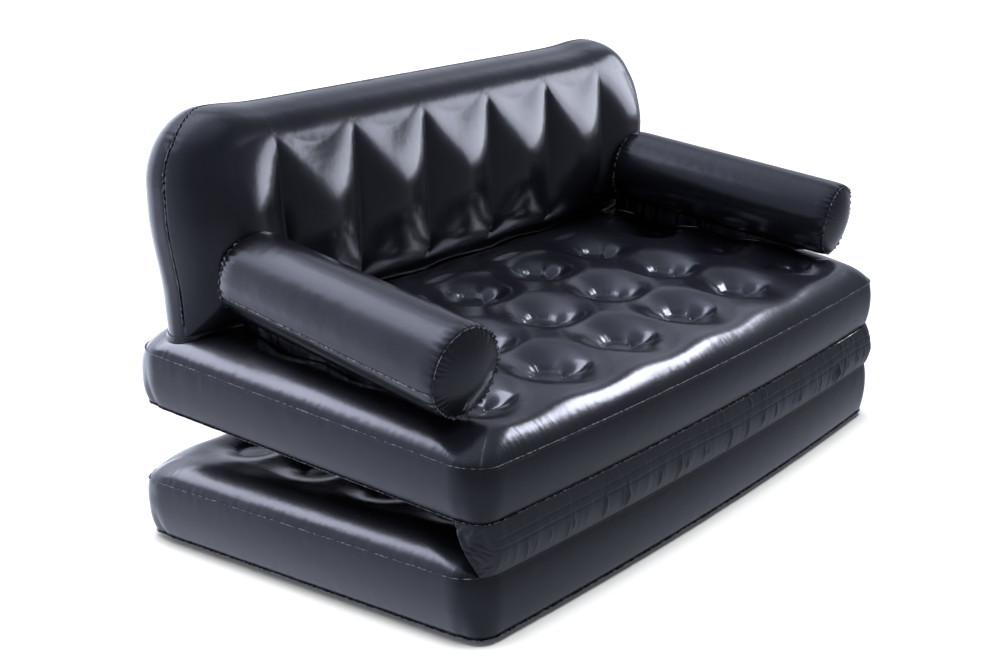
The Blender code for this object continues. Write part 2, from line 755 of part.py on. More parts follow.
def screw_valve(prefix, port, normal, materials, parent):
    """Valve body welded in the wall, screw-in insert and screw cap with a finger bar."""
    turn = Vector((0.0, 0.0, 1.0)).rotation_difference(normal).to_matrix()
    axis = make_empty(prefix + "_valve_axis", port, parent, turn)
    face = VALVE_FACE
    body = [(NECK_RADIUS, GAP), (FLANGE_RADIUS, GAP), (FLANGE_RADIUS, face), (NECK_BORE, face)]
    body += [(NECK_BORE, -NECK_LENGTH), (NECK_RADIUS, -NECK_LENGTH)]
    lathe(prefix + "_valve_body", body, VALVE_SIDES, materials["valve"], axis)
    seat = face + GAP
    rim = VALVE_RIM
    collar = VALVE_COLLAR
    insert = [(INSERT_RADIUS, seat), (INSERT_RIM_RADIUS, seat), (INSERT_RIM_RADIUS, rim)]
    insert += [(INSERT_COLLAR_RADIUS, rim), (INSERT_COLLAR_RADIUS, collar)]
    insert += [(INSERT_BORE, collar), (INSERT_BORE, face - INSERT_LENGTH)]
    insert += [(INSERT_RADIUS, face - INSERT_LENGTH)]
    lathe(prefix + "_valve_insert", insert, VALVE_SIDES, materials["valve"], axis)
    under = collar + GAP
    top = under + CAP_TOP
    skirt_bore = INSERT_COLLAR_RADIUS + GAP
    cap = [(0.0, under - CAP_PLUG_LENGTH), (CAP_PLUG_RADIUS, under - CAP_PLUG_LENGTH)]
    cap += [(CAP_PLUG_RADIUS, under), (skirt_bore, under), (skirt_bore, under - CAP_SKIRT_HEIGHT)]
    cap += [(CAP_RADIUS, under - CAP_SKIRT_HEIGHT), (CAP_RADIUS, top), (0.0, top)]
    piece = lathe(prefix + "_valve_cap", cap, VALVE_SIDES, materials["valve"], axis)
    grip_builder = bmesh.new()
    size = Matrix.Diagonal((GRIP_LENGTH, GRIP_WIDTH, GRIP_HEIGHT + CAP_TOP, 1.0))
    lift = Matrix.Translation((0.0, 0.0, under + (GRIP_HEIGHT + CAP_TOP) / 2 + GAP))
    bmesh.ops.create_cube(grip_builder, size=1.0, matrix=lift @ size)
    grip = make_object(prefix + "_valve_grip", grip_builder, materials["valve"], axis)
    grip.hide_render = True
    grip.display_type = "WIRE"
    join = piece.modifiers.new("Grip", "BOOLEAN")
    join.operation = "UNION"
    join.solver = "EXACT"
    join.object = grip


def push_valve(prefix, port, normal, materials, parent):
    """Stem welded in the wall of a small chamber, and the plug pushed into it."""
    turn = Vector((0.0, 0.0, 1.0)).rotation_difference(normal).to_matrix()
    axis = make_empty(prefix + "_valve_axis", port, parent, turn)
    face = GAP + STEM_FLANGE_THICKNESS
    lip = face + STEM_LIP_HEIGHT
    stem = [(STEM_RADIUS, GAP), (STEM_FLANGE_RADIUS, GAP), (STEM_FLANGE_RADIUS, face)]
    stem += [(STEM_LIP_RADIUS, face), (STEM_LIP_RADIUS, lip), (STEM_BORE, lip)]
    stem += [(STEM_BORE, -STEM_LENGTH), (STEM_RADIUS, -STEM_LENGTH)]
    lathe(prefix + "_valve_stem", stem, STEM_SIDES, materials["valve"], axis)
    under = lip + GAP
    plug = [(0.0, under - PLUG_LENGTH), (PLUG_RADIUS, under - PLUG_LENGTH), (PLUG_RADIUS, under)]
    plug += [(PLUG_HEAD_RADIUS, under), (PLUG_HEAD_RADIUS, under + PLUG_HEAD_THICKNESS)]
    plug += [(0.0, under + PLUG_HEAD_THICKNESS)]
    lathe(prefix + "_valve_plug", plug, STEM_SIDES, materials["valve"], axis)


def clear_scene():
    for old in list(bpy.data.objects):
        bpy.data.objects.remove(old, do_unlink=True)


def build():
    clear_scene()
    materials = {
        "pvc": make_material("black_pvc", (0.022, 0.023, 0.031), 0.30),
        "flap": make_material("strip_pvc", (0.020, 0.021, 0.027), 0.55),
        "inner": make_material("inner_pvc", (0.055, 0.056, 0.062), 0.50),
        "valve": make_material("valve_plastic", (0.030, 0.030, 0.034), 0.40),
    }
    sofa = make_empty("sofa", (0.0, CENTRE_SHIFT, 0.0))
    fold_place = Vector((0.0, FOLD_AXIS_Y, FOLD_AXIS_Z))
    fold = make_empty("fold_hinge_axis", fold_place, sofa)
    on_fold = -fold_place
    free_face = (CROWN, SHOULDER_RISE, SADDLE_DROP, WELD_RISE)
    under_face = (UNDER_CROWN, UNDER_SHOULDER_RISE, SADDLE_DROP, WELD_RISE)
    floor_face = (BASE_SEAM_HEIGHT, FLOOR_SHOULDER_RISE, FLOOR_SADDLE_DROP, FLOOR_WELD_RISE)
    nowhere = Vector((0.0, 0.0, 0.0))
    behind = Vector((0.0, 1.0, 0.0))

    seat_port = mattress(
        "seat_chamber", seat_low_seam, seat_high_seam, under_face, free_face,
        materials["pvc"], sofa, nowhere,
    )
    base_port = mattress(
        "base_chamber", base_low_seam, base_high_seam, floor_face, free_face,
        materials["pvc"], fold, on_fold,
    )
    for row in range(TUFT_ROWS):
        number = str(row + 1)
        coil_row(
            "seat_coil_row_" + number, row, seat_low_seam, seat_high_seam, WELD_RISE,
            materials["inner"], sofa, nowhere,
        )
        coil_row(
            "base_coil_row_" + number, row, base_low_seam, base_high_seam, FLOOR_WELD_RISE,
            materials["inner"], fold, on_fold,
        )
    flap("seat_hinge_flap", SEAT_LOW_FRONT, materials["flap"], sofa, nowhere)
    flap("base_hinge_flap", BASE_TOP_SEAM, materials["flap"], fold, on_fold)

    back_port, back_normal = backrest(materials["pvc"], sofa)
    for crease in range(CREASES):
        web("backrest_web_" + str(crease + 1), crease, materials["inner"], sofa)
    weld_flange(materials["pvc"], sofa)

    for prefix, side in (("left_arm", -1), ("right_arm", 1)):
        port, normal = arm(prefix + "_chamber", side, materials["pvc"], sofa)
        arm_weld_flap(prefix + "_weld_flap", side, materials["flap"], sofa)
        push_valve(prefix, port, normal, materials, sofa)

    push_valve("backrest", back_port, back_normal, materials, sofa)
    screw_valve("seat", seat_port, behind, materials, sofa)
    screw_valve("base", base_port - fold_place, behind, materials, fold)


build()
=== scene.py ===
# %% [markdown]
# # An inflatable sofa that unfolds into a bed
# The real thing is a set of air chambers made of thin black vinyl: two tufted
# mattresses, a backrest and two arms, welded along their seams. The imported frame
# gives every chamber its place. Here each one gets its inflated form and finish.

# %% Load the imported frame
import math

import bpy
import numpy as np
from mathutils import Matrix, Vector


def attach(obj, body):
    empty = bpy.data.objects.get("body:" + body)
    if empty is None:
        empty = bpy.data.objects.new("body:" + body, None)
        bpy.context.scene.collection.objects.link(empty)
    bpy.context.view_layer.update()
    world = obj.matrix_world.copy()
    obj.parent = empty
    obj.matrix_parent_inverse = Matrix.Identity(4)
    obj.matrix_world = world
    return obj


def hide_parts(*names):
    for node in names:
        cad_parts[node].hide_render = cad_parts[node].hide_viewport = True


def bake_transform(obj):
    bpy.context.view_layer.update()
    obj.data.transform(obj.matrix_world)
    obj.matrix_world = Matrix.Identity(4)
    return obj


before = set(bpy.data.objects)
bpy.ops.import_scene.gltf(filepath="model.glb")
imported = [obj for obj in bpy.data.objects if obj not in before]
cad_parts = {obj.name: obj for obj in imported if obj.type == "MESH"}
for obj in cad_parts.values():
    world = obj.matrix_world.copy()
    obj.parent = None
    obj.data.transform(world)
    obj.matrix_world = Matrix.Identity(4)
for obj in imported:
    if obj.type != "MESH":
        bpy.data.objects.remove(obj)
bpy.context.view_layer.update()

# %% [markdown]
# ## Sizes
# These are the frame's own sizes, in metres. The mattresses' middle stands a little
# behind the origin, because the front strip and the rear valves reach out unequally.

# %% Sizes of the mattresses
CENTRE_Y = 0.0068
HALF_WIDTH, HALF_DEPTH, CORNER = 0.76, 0.40, 0.06
FRONT_BOW, REAR_BULGE, WALL_BULGE = 0.026, 0.012, 0.0075
BASE_LOW, BASE_HIGH = 0.012, 0.129
SEAT_LOW_FRONT, SEAT_LOW_REAR = 0.219, 0.274
SEAT_HIGH_FRONT, SEAT_HIGH_REAR = 0.319, 0.384
CROWN, WELD_RISE = 0.046, 0.0130
TUFT_X, TUFT_Y, FIRST_ROW_Y = 0.232, 0.5150 / 3, -0.240
TUFT_COLUMNS, TUFT_ROWS = 6, 4
DISC_RADIUS, DISC_DOME, BOWL_RADIUS = 0.032, 0.0016, 0.122
SLOW_RISE, END_ROLL = 0.12, 0.078
TUCK_DEPTH, HAIR_RATE = 0.0005, 75


def seat_low(y):
    return SEAT_LOW_FRONT + (SEAT_LOW_REAR - SEAT_LOW_FRONT) * (y + HALF_DEPTH) / (2 * HALF_DEPTH)


def seat_high(y):
    return SEAT_HIGH_FRONT + (SEAT_HIGH_REAR - SEAT_HIGH_FRONT) * (y + HALF_DEPTH) / (2 * HALF_DEPTH)


def base_low(y):
    return BASE_LOW + 0 * y


def base_high(y):
    return BASE_HIGH + 0 * y


def front_bow(x, y):
    """How far the front edges bow forward, fading to nothing at the rear."""
    return FRONT_BOW * (1 - (x / HALF_WIDTH) ** 2) * ((HALF_DEPTH - y) / (2 * HALF_DEPTH)) ** 2


# %% [markdown]
# ## Working by hand, in code
# Every piece starts from a primitive that is shaped in edit mode. What a hand would
# then do with a sculpting brush is done by moving the points with a formula, so these
# helpers read a mesh's points into an array and write them back.

# %% Helpers for points
def deselect():
    bpy.ops.object.select_all(action="DESELECT")


def choose(piece):
    deselect()
    piece.select_set(True)
    bpy.context.view_layer.objects.active = piece


def points_of(piece):
    flat = np.empty(len(piece.data.vertices) * 3)
    piece.data.vertices.foreach_get("co", flat)
    return flat.reshape(-1, 3)


def move_points(piece, places):
    piece.data.vertices.foreach_set("co", np.ascontiguousarray(places, dtype=np.float64).ravel())
    piece.data.update()


def store(piece, name, values):
    """Keeps one number, or one vector, for each point, for the material to read."""
    kind, field = ("FLOAT", "value") if values.ndim == 1 else ("FLOAT_VECTOR", "vector")
    layer = piece.data.attributes.new(name, kind, "POINT")
    layer.data.foreach_set(field, np.ascontiguousarray(values, dtype=np.float32).ravel())


def smoothstep(low, high, value):
    t = np.clip((value - low) / (high - low), 0, 1)
    return t * t * (3 - 2 * t)


def ripple(along, seed):
    """An even, repeatable unevenness between -1 and 1 along a length in metres."""
    waves = ((41.0, 0.9, 0.35), (87.0, 2.1, 0.30), (143.0, 4.4, 0.20), (233.0, 5.7, 0.15))
    return sum(
        share * np.sin(rate * along + turn + seed * (number + 1.7))
        for number, (rate, turn, share) in enumerate(waves)
    )


def merge(piece, nearer):
    """Merges points nearer than this and points every face outwards."""
    choose(piece)
    bpy.ops.object.mode_set(mode="EDIT")
    bpy.ops.mesh.select_all(action="SELECT")
    bpy.ops.mesh.remove_doubles(threshold=nearer)
    bpy.ops.mesh.normals_make_consistent(inside=False)
    bpy.ops.object.mode_set(mode="OBJECT")


def outward(piece):
    """Closes a finished piece and shades it smooth."""
    merge(piece, 0.00001)
    bpy.ops.object.shade_smooth()
    print(piece.name, len(piece.data.polygons), "faces")


# %% Two sheets joined round the edge
def pillow_blank(name, columns, rows, wall_rings):
    """Two square-cornered grids at height 1 and -1, joined by a wall of rings."""
    deselect()
    bpy.ops.mesh.primitive_grid_add(x_subdivisions=columns, y_subdivisions=rows, size=2, location=(0, 0, 1))
    piece = bpy.context.object
    piece.name = name
    bpy.ops.object.transform_apply(location=True, rotation=True, scale=True)
    bpy.ops.object.mode_set(mode="EDIT")
    bpy.ops.mesh.select_all(action="SELECT")
    bpy.ops.mesh.duplicate_move(TRANSFORM_OT_translate={"value": (0, 0, -2)})
    bpy.ops.mesh.select_all(action="SELECT")
    bpy.ops.mesh.region_to_loop()
    bpy.ops.mesh.bridge_edge_loops(number_cuts=wall_rings)
    bpy.ops.object.mode_set(mode="OBJECT")
    return piece


def finer_at_edges(share, strength):
    """Draws the grid lines closer together towards the edges, where the sheet rolls over."""
    return (1 - strength) * share + strength * np.sin(share * math.pi / 2)


def finer_at_tufts(x):
    """Draws the grid lines closer together at the tufts."""
    return x - 0.42 * TUFT_X / (2 * math.pi) * np.sin(2 * math.pi * (x - TUFT_X / 2) / TUFT_X)


def rounded(x, y, half_x, half_y, radius):
    """Moves points of a square-cornered grid so that its corners are round."""
    centre_x = np.clip(x, radius - half_x, half_x - radius)
    centre_y = np.clip(y, radius - half_y, half_y - radius)
    step_x, step_y = x - centre_x, y - centre_y
    reach = np.maximum(abs(step_x), abs(step_y)) / np.maximum(np.hypot(step_x, step_y), 1e-9)
    reach = np.where((step_x != 0) & (step_y != 0), reach, 1.0)
    return centre_x + step_x * reach, centre_y + step_y * reach


def inset_from_edge(x, y):
    """How far a point lies inside the mattress's outline, whose corners get rounder further in."""
    from_x, from_y = HALF_WIDTH - abs(x), HALF_DEPTH - abs(y)
    plain = np.minimum(from_x, from_y)
    over_x, over_y = CORNER - from_x, CORNER - from_y
    half_b, end = 2 * (over_x + over_y) - CORNER, over_x**2 + over_y**2 - CORNER**2
    bent = (np.sqrt(np.maximum(half_b**2 - 7 * end, 0)) - half_b) / 7
    bends = (over_x + 2 * bent > 0) & (over_y + 2 * bent > 0)
    return np.maximum(np.where(bends, bent, plain), 0)


# %% A thin sheet laid between two lines
def band(name, columns, rows, shape, thickness, finish):
    """shape turns the share along (0 to 1) and the share across (0 to 1) into places."""
    deselect()
    bpy.ops.mesh.primitive_grid_add(x_subdivisions=columns, y_subdivisions=rows, size=2)
    piece = bpy.context.object
    piece.name = name
    blank = points_of(piece)
    along, across = (blank[:, 0] + 1) / 2, (1 - blank[:, 1]) / 2
    places = shape(along, across)
    move_points(piece, places)
    store(piece, "pucker", np.full(len(blank), 0.7))
    store(piece, "flow", np.stack([places[:, 0] * 90, places[:, 1] * 90, places[:, 2] * 30], axis=1))
    merge(piece, 0.00002)
    skin = piece.modifiers.new("Skin", "SOLIDIFY")
    skin.thickness = thickness
    skin.offset = 0
    bpy.ops.object.modifier_apply(modifier=skin.name)
    outward(piece)
    piece.data.materials.append(finish)
    return piece


# %% [markdown]
# ## The finish of the vinyl
# Inflated vinyl is a dark, satin-gloss film. What makes it look real is fine: hair-like
# ripples that run across each weld, a faint grain in the film, and a slow change in
# gloss. The ripples follow the seams, so each chamber carries two values for its
# points: where along the weld a point lies, and how close it is.

# %% Shader sums written as Python
class Tone:
    """A socket, with the operators that shader sums need."""

    def __init__(self, finish, socket):
        self.finish, self.socket = finish, socket

    def sum(self, operation, first, second):
        return self.finish.node("ShaderNodeMath", {"operation": operation}, {0: first, 1: second})

    def __add__(self, other):
        return self.sum("ADD", self, other)

    def __sub__(self, other):
        return self.sum("SUBTRACT", self, other)

    def __mul__(self, other):
        return self.sum("MULTIPLY", self, other)

    def __rsub__(self, other):
        return self.sum("SUBTRACT", other, self)

    def __rmul__(self, other):
        return self.sum("MULTIPLY", other, self)

    __radd__ = __add__


class Shades:
    """A node tree under construction."""

    def __init__(self, tree):
        self.tree = tree

    def node(self, kind, settings=(), values=(), output=0):
        made = self.tree.nodes.new(kind)
        for setting, value in dict(settings).items():
            setattr(made, setting, value)
        for key, value in dict(values).items():
            if isinstance(value, Tone):
                self.tree.links.new(value.socket, made.inputs[key])
            else:
                made.inputs[key].default_value = value
        return Tone(self, made.outputs[output])

    def rise(self, value, low, high):
        """Goes softly from 0 to 1 while value goes from low to high."""
        values = {"Value": value, "From Min": low, "From Max": high}
        return self.node("ShaderNodeMapRange", {"interpolation_type": "SMOOTHSTEP"}, values)


class Finish(Shades):
    """A material under construction."""

    def __init__(self, name):
        self.material = bpy.data.materials.new(name)
        self.material.use_nodes = True
        super().__init__(self.material.node_tree)
        self.shader = self.tree.nodes["Principled BSDF"]

    def set(self, name, value):
        if isinstance(value, Tone):
            self.tree.links.new(value.socket, self.shader.inputs[name])
        else:
            self.shader.inputs[name].default_value = value

    def noise(self, place, scale, detail=2.0):
        return self.node("ShaderNodeTexNoise", (), {"Vector": place, "Scale": scale, "Detail": detail}, "Fac")

    def blend(self, share, first, second):
        values = {0: share, 6: (*first, 1.0), 7: (*second, 1.0)}
        return self.node("ShaderNodeMix", {"data_type": "RGBA"}, values, 2)


# %% Black vinyl, weld, strip vinyl, inner film and valve plastic
def vinyl(name, deep, bloom_and_glints, gloss, grain, crinkle, patches=(6.0, 0.0, 1.0)):
    """Dark film: colours of its deep and hazy places, roughness, grain and crinkle in metres.

    patches holds the hazy places' rate and the noise values that are deep and hazy. On the weld the hazy
    places are light flecks that are painted glints.
    """
    finish = Finish(name)
    place = finish.node("ShaderNodeTexCoord", output="Object")
    flow = finish.node("ShaderNodeAttribute", {"attribute_name": "flow"}, output="Vector")
    pucker = finish.node("ShaderNodeAttribute", {"attribute_name": "pucker"}, output="Fac")
    # The hazy places are random haze on the film; on the weld they are light flecks, painted glints.
    haze_and_glints = finish.rise(finish.noise(place, patches[0], 3.0), *patches[1:])
    film = finish.noise(place, 520.0, 1.0)
    hair = finish.noise(flow, 1.0, 2.0)
    soft = finish.noise(place, 26.0, 3.0)
    finish.set("Base Color", finish.blend(haze_and_glints, deep, bloom_and_glints))
    finish.set("Roughness", haze_and_glints * 0.10 + film * 0.04 + (gloss - 0.07))
    height = film * grain + hair * (pucker * crinkle) + soft * 0.0007
    values = {"Strength": 1.0, "Distance": 1.0, "Height": height}
    finish.set("Normal", finish.node("ShaderNodeBump", (), values, "Normal"))
    finish.set("Specular Tint", (0.86, 0.88, 1.0, 1.0))
    finish.set("IOR", 1.52)
    return finish.material


black_pvc = vinyl("black_pvc", (0.0030, 0.0032, 0.0046), (0.0052, 0.0055, 0.0076), 0.225, 0.000012, 0.0011)
# Rate and noise limits of the light flecks on the weld: painted glints along the seams.
PAINTED_GLINTS = (150.0, 0.42, 0.66)
weld_pvc = vinyl("weld_pvc", (0.006, 0.006, 0.008), (0.150, 0.153, 0.172), 0.26, 0.000020, 0.0050, PAINTED_GLINTS)
strip_pvc = vinyl("strip_pvc", (0.0090, 0.0094, 0.0122), (0.0155, 0.0160, 0.0205), 0.42, 0.000020, 0.0016)
inner_pvc = vinyl("inner_pvc", (0.045, 0.046, 0.052), (0.060, 0.061, 0.068), 0.42, 0.000020, 0.0)
valve_plastic = vinyl("valve_plastic", (0.022, 0.022, 0.025), (0.030, 0.030, 0.034), 0.34, 0.000030, 0.0)
print("finishes made")


# %% [markdown]
# ## The mattresses
# Each mattress is a top and a bottom sheet with a side wall welded between them. Drums
# of film inside hold the sheets together in a lattice of points, and air pushes the
# sheets out everywhere else. A formula gives this form: a roll over the edge, a
# crown, and at every tuft a round weld in a funnel, with a fold that runs away from
# it. A cloth simulation would find the same funnels, but not in the places that the
# photograph shows, so the points are moved by the formula.

# %% The relief of a tufted sheet
def tuft_offsets(x, y):
    """Offset of each point from the nearest tuft, and that tuft's column and row."""
    column = np.clip(np.round(x / TUFT_X + (TUFT_COLUMNS - 1) / 2), 0, TUFT_COLUMNS - 1)
    row = np.clip(np.round((y - FIRST_ROW_Y) / TUFT_Y), 0, TUFT_ROWS - 1)
    across = x - (column - (TUFT_COLUMNS - 1) / 2) * TUFT_X
    along = y - (FIRST_ROW_Y + row * TUFT_Y)
    return across, along, column, row


def valley(across, along, angle, length, depth):
    """A leaf-shaped fold that starts in a point at the weld and closes again further out."""
    ahead = across * np.cos(angle) + along * np.sin(angle) - DISC_RADIUS + 0.004
    beside = along * np.cos(angle) - across * np.sin(angle)
    run = np.clip(ahead / length, 0, 1)
    width = 0.0030 + 0.016 * np.sin(run * math.pi) ** 0.8
    leaf = depth * np.exp(-abs(beside / width) ** 1.7)
    return leaf * smoothstep(-0.003, 0.003, ahead) * (1 - smoothstep(0.40, 1.0, run))


def pit_depth(reach):
    """Share of the full depth at a distance from a tuft: steep at the weld, gentle further out."""
    step = np.clip((reach - DISC_RADIUS) / (BOWL_RADIUS - DISC_RADIUS), 0, 1)
    return 0.17 * np.exp(-np.maximum(reach - DISC_RADIUS, 0) / 0.0035) + 0.83 * (1 - step) ** 1.62


def tufted_rise(x, y, crown, weld, roll, fold, hidden_row=False):
    """Height of the sheet over its seam at each place, and the place seen from the nearest tuft.

    roll holds how much of the crown is a tight roll at the edge, that roll's width and power,
    and whether it is slacker at the two ends.
    """
    near = inset_from_edge(x, y)
    tight, width, power, slack_ends = roll
    swell = tight * (1 - (1 - np.clip(near / width, 0, 1)) ** 2.2) ** power
    swell = swell + (1 - tight) * (1 - (1 - np.clip(near / SLOW_RISE, 0, 1)) ** 2)
    if slack_ends:
        slack = (1 - (1 - np.clip(near / END_ROLL, 0, 1)) ** 1.6) ** 0.7
        at_end = smoothstep(-0.05, 0.05, abs(x) - HALF_WIDTH - abs(y) + HALF_DEPTH)
        swell = swell + (slack - swell) * at_end
    across, along, column, row = tuft_offsets(x, y)
    number = column * 7 + row * 3
    reach = np.hypot(across, along * 1.08)
    turn = np.arctan2(along, across)
    near_column = np.clip(column + np.where(across > 0, 1, -1), 0, TUFT_COLUMNS - 1) - column
    near_row = np.clip(row + np.where(along > 0, 1, -1), 0, TUFT_ROWS - 1) - row
    share = pit_depth(reach) ** 3
    for step_x, step_y in ((near_column, 0), (0, near_row), (near_column, near_row)):
        other = np.hypot(across - step_x * TUFT_X, (along - step_y * TUFT_Y) * 1.08)
        share = share + np.where((step_x != 0) | (step_y != 0), pit_depth(other) ** 3, 0)
    dome = DISC_DOME * (1 - np.clip(reach / DISC_RADIUS, 0, 1) ** 2)
    weld_ring = 0.0007 * np.exp(-(((reach - DISC_RADIUS) / 0.0022) ** 2))
    depth = (crown - weld) * np.minimum(share, 1) ** (1 / 3) - (dome + weld_ring)
    depth = depth + fold * valley(across, along, -0.62 + 0.12 * np.sin(number), 0.060, 0.0125)
    depth = depth + fold * valley(across, along, 2.55 + 0.15 * np.cos(number), 0.042, 0.0050)
    outside = np.maximum(reach - DISC_RADIUS, 0)
    pleats = np.cos(11 * turn + number) + 0.6 * np.cos(7 * turn + 2 * number)
    depth = depth + fold * 0.0007 * pleats * np.exp(-outside / 0.010) * smoothstep(0.026, 0.038, reach)
    on_long_side = abs(y) > abs(x) - HALF_WIDTH + HALF_DEPTH
    dip = np.cos(2 * math.pi * x / TUFT_X + math.pi) * np.exp(-(((near - 0.055) / 0.030) ** 2))
    depth = depth + fold * 0.0022 * dip * on_long_side
    if hidden_row:
        depth = depth * np.where(row == TUFT_ROWS - 1, smoothstep(0.235, 0.275, y), 1.0)
    return (crown - depth) * swell, reach, turn, number


SEAT_ROLL, BASE_ROLL = (0.74, 0.050, 0.85, True), (0.80, 0.070, 0.70, True)


def seat_top(x, y):
    """Height of the seat's upper sheet."""
    return seat_high(y) + tufted_rise(x, y, CROWN, WELD_RISE, SEAT_ROLL, 1.0, True)[0]


# %% The side wall
def outward_way(x, y):
    """The direction in plan that leads out of the mattress."""
    out_x = x - np.clip(x, CORNER - HALF_WIDTH, HALF_WIDTH - CORNER)
    out_y = y - np.clip(y, CORNER - HALF_DEPTH, HALF_DEPTH - CORNER)
    length = np.maximum(np.hypot(out_x, out_y), 1e-9)
    return out_x / length, out_y / length


def wall_push(share, out_y, inset, spread):
    """How far the wall stands out from the outline, from its lower seam (0) to its upper one (1)."""
    rear = smoothstep(0.35, 0.9, out_y)
    rear_push = REAR_BULGE * (1 - abs(2 * share - 1) ** 2.7)
    inset = inset + (0.004 - inset) * smoothstep(0.3, 0.95, -out_y)
    push = WALL_BULGE * np.sin(np.clip(share, 0, 1) * math.pi) ** 0.75 - inset * (1 - share) ** 1.5
    corner = 4 * out_y**2 * (1 - out_y**2)
    beside = 1 - smoothstep(0.3, 0.95, abs(out_y)) + 1.6 * corner**2 * (out_y > 0)
    push = push + spread * smoothstep(0, 1, share) * beside
    return push * (1 - rear) + rear_push * rear


# %% A mattress from its blank
def mattress(name, low, high, faces, inset, spread, grid, hidden_row):
    """faces holds crown, weld, roll and fold strength of the top and of the bottom sheet."""
    piece = pillow_blank(name, *grid)
    blank = points_of(piece)
    x = finer_at_edges(blank[:, 0], 0.30) * HALF_WIDTH
    y = finer_at_edges(blank[:, 1], 0.30) * HALF_DEPTH
    inner = abs(blank[:, 0]) < 0.88
    x = np.where(inner, finer_at_tufts(x), x)
    x, y = rounded(x, y, HALF_WIDTH, HALF_DEPTH, CORNER)
    share = (blank[:, 2] + 1) / 2
    z = low(y) + (high(y) - low(y)) * share
    wall = (share > 0.001) & (share < 0.999)
    edge = inset_from_edge(x, y)
    pucker, flow = np.zeros(len(blank)), np.zeros((len(blank), 3))
    side_on = abs(x) / HALF_WIDTH > abs(y) / HALF_DEPTH
    run = np.where(side_on, y, x)
    for face, (crown, weld, roll, fold) in zip((1, -1), faces):
        sheet = blank[:, 2] * face > 0.999
        hidden = hidden_row and face > 0
        rise, reach, turn, number = tufted_rise(x[sheet], y[sheet], crown, weld, roll, fold, hidden)
        tuck = TUCK_DEPTH * ripple(run[sheet] * 2.6, face) * np.exp(-edge[sheet] / 0.010)
        z[sheet] += face * (rise + tuck * (1 - np.exp(-edge[sheet] / 0.002)))
        at_tuft = reach < 0.085
        ring = np.exp(-np.maximum(reach - DISC_RADIUS, 0) / 0.014) * smoothstep(0.022, 0.036, reach)
        pucker[sheet] = np.where(at_tuft, ring, np.exp(-edge[sheet] / 0.020))
        rim = np.stack([run[sheet] * HAIR_RATE, edge[sheet] * 9, 0 * reach], axis=1)
        star = np.stack([np.cos(turn) * 4.5, np.sin(turn) * 4.5, number + reach * 12], axis=1)
        flow[sheet] = np.where(at_tuft[:, None], star, rim)
    to_seam = np.minimum(share, 1 - share) * (high(y) - low(y))
    pucker = np.where(wall, 0.8 * np.exp(-to_seam / 0.012), pucker)
    flow = np.where(wall[:, None], np.stack([run * HAIR_RATE, z * 9, 0 * z + 9], axis=1), flow)
    out_x, out_y = outward_way(x, y)
    push = wall_push(share, out_y, inset, spread) * (1 - smoothstep(0.0, 0.16, edge))
    push = push + np.where(wall, TUCK_DEPTH * ripple(run * 2.6, 3.0) * np.exp(-to_seam / 0.010), 0)
    places = np.stack([x + push * out_x, y - front_bow(x, y) + push * out_y + CENTRE_Y, z], axis=1)
    move_points(piece, places)
    store(piece, "pucker", pucker)
    store(piece, "flow", flow)
    outward(piece)
    piece.data.materials.append(black_pvc)
    return piece


# %% The seat and the base
SEAT_GRID = ((330, 180, 16))
BASE_GRID = ((220, 120, 16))
SEAT_INSET, BASE_INSET, BASE_SPREAD = 0.015, 0.017, 0.006
seat_face, seat_under = (CROWN, WELD_RISE, SEAT_ROLL, 1.0), (0.036, WELD_RISE, (0.2, 0.060, 1.0, False), 0.6)
base_face, base_under = (CROWN, 0.0200, BASE_ROLL, 0.2), (0.0119, 0.0035, (1.0, 0.040, 1.0, False), 0.1)
seat_faces, base_faces = (seat_face, seat_under), (base_face, base_under)
seat = mattress("seat_vinyl", seat_low, seat_high, seat_faces, SEAT_INSET, 0.0, SEAT_GRID, True)
base = mattress("base_vinyl", base_low, base_high, base_faces, BASE_INSET, BASE_SPREAD, BASE_GRID, False)
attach(seat, "seat_and_backrest")
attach(base, "base_mattress")
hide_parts("seat_chamber")
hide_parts("base_chamber")


# %% [markdown]
# ## The backrest
# The backrest is two sheets welded round their outline. Six upright welds tie the
# front sheet to the rear one, and the five channels between them swell forwards. The
# welds stop short of the top, so that the top is one smooth roll, and each channel
# ends below it in a soft shoulder between two pointed tips. The sheets meet a little in
# front of the widest line, where the corner gathers into small pleats.

# %% Sizes of the backrest
BACK_HALF, BACK_HEIGHT, BACK_CORNER = 0.75, 0.390, 0.125
BEND = BACK_HEIGHT - BACK_CORNER
BACK_Y, BACK_LEAN = 0.3135, 0.020
BACK_FRONT, BACK_REAR = 0.1065, 0.0635
FRONT_SWELL, REAR_SWELL = 0.038, 0.010
CREASES, CREASE_PITCH, CREASE_DEPTH = 6, 0.2165, 0.0045
OUTER_CREASE = (CREASES - 1) / 2 * CREASE_PITCH
CREASE_TIP, SHOULDER_SAG, SHOULDER_DROP = 0.340, 0.033, 0.120
ROLL_POWER = 4.0
EDGE_SHARE, SEAM_INSET = 0.42, 0.0018
FOOT_TAPER, LAID_GAP = 0.018, 0.0004


def seat_ridge(y):
    return seat_high(y) + CROWN


def edge_inset(share):
    """Inset of the surface from the widest line where it has this share of its full depth."""
    return BACK_CORNER * (1 - (1 - share**2) ** (1 / ROLL_POWER))


def channel_share(x):
    """Place across the nearest channel, from 0 at its left weld to 1, or below 0 on an end panel."""
    share = (x + OUTER_CREASE) / CREASE_PITCH
    inside = (share >= 0) & (share <= CREASES - 1)
    return np.where(inside, share - np.floor(np.clip(share, 0, CREASES - 2)), -1.0)


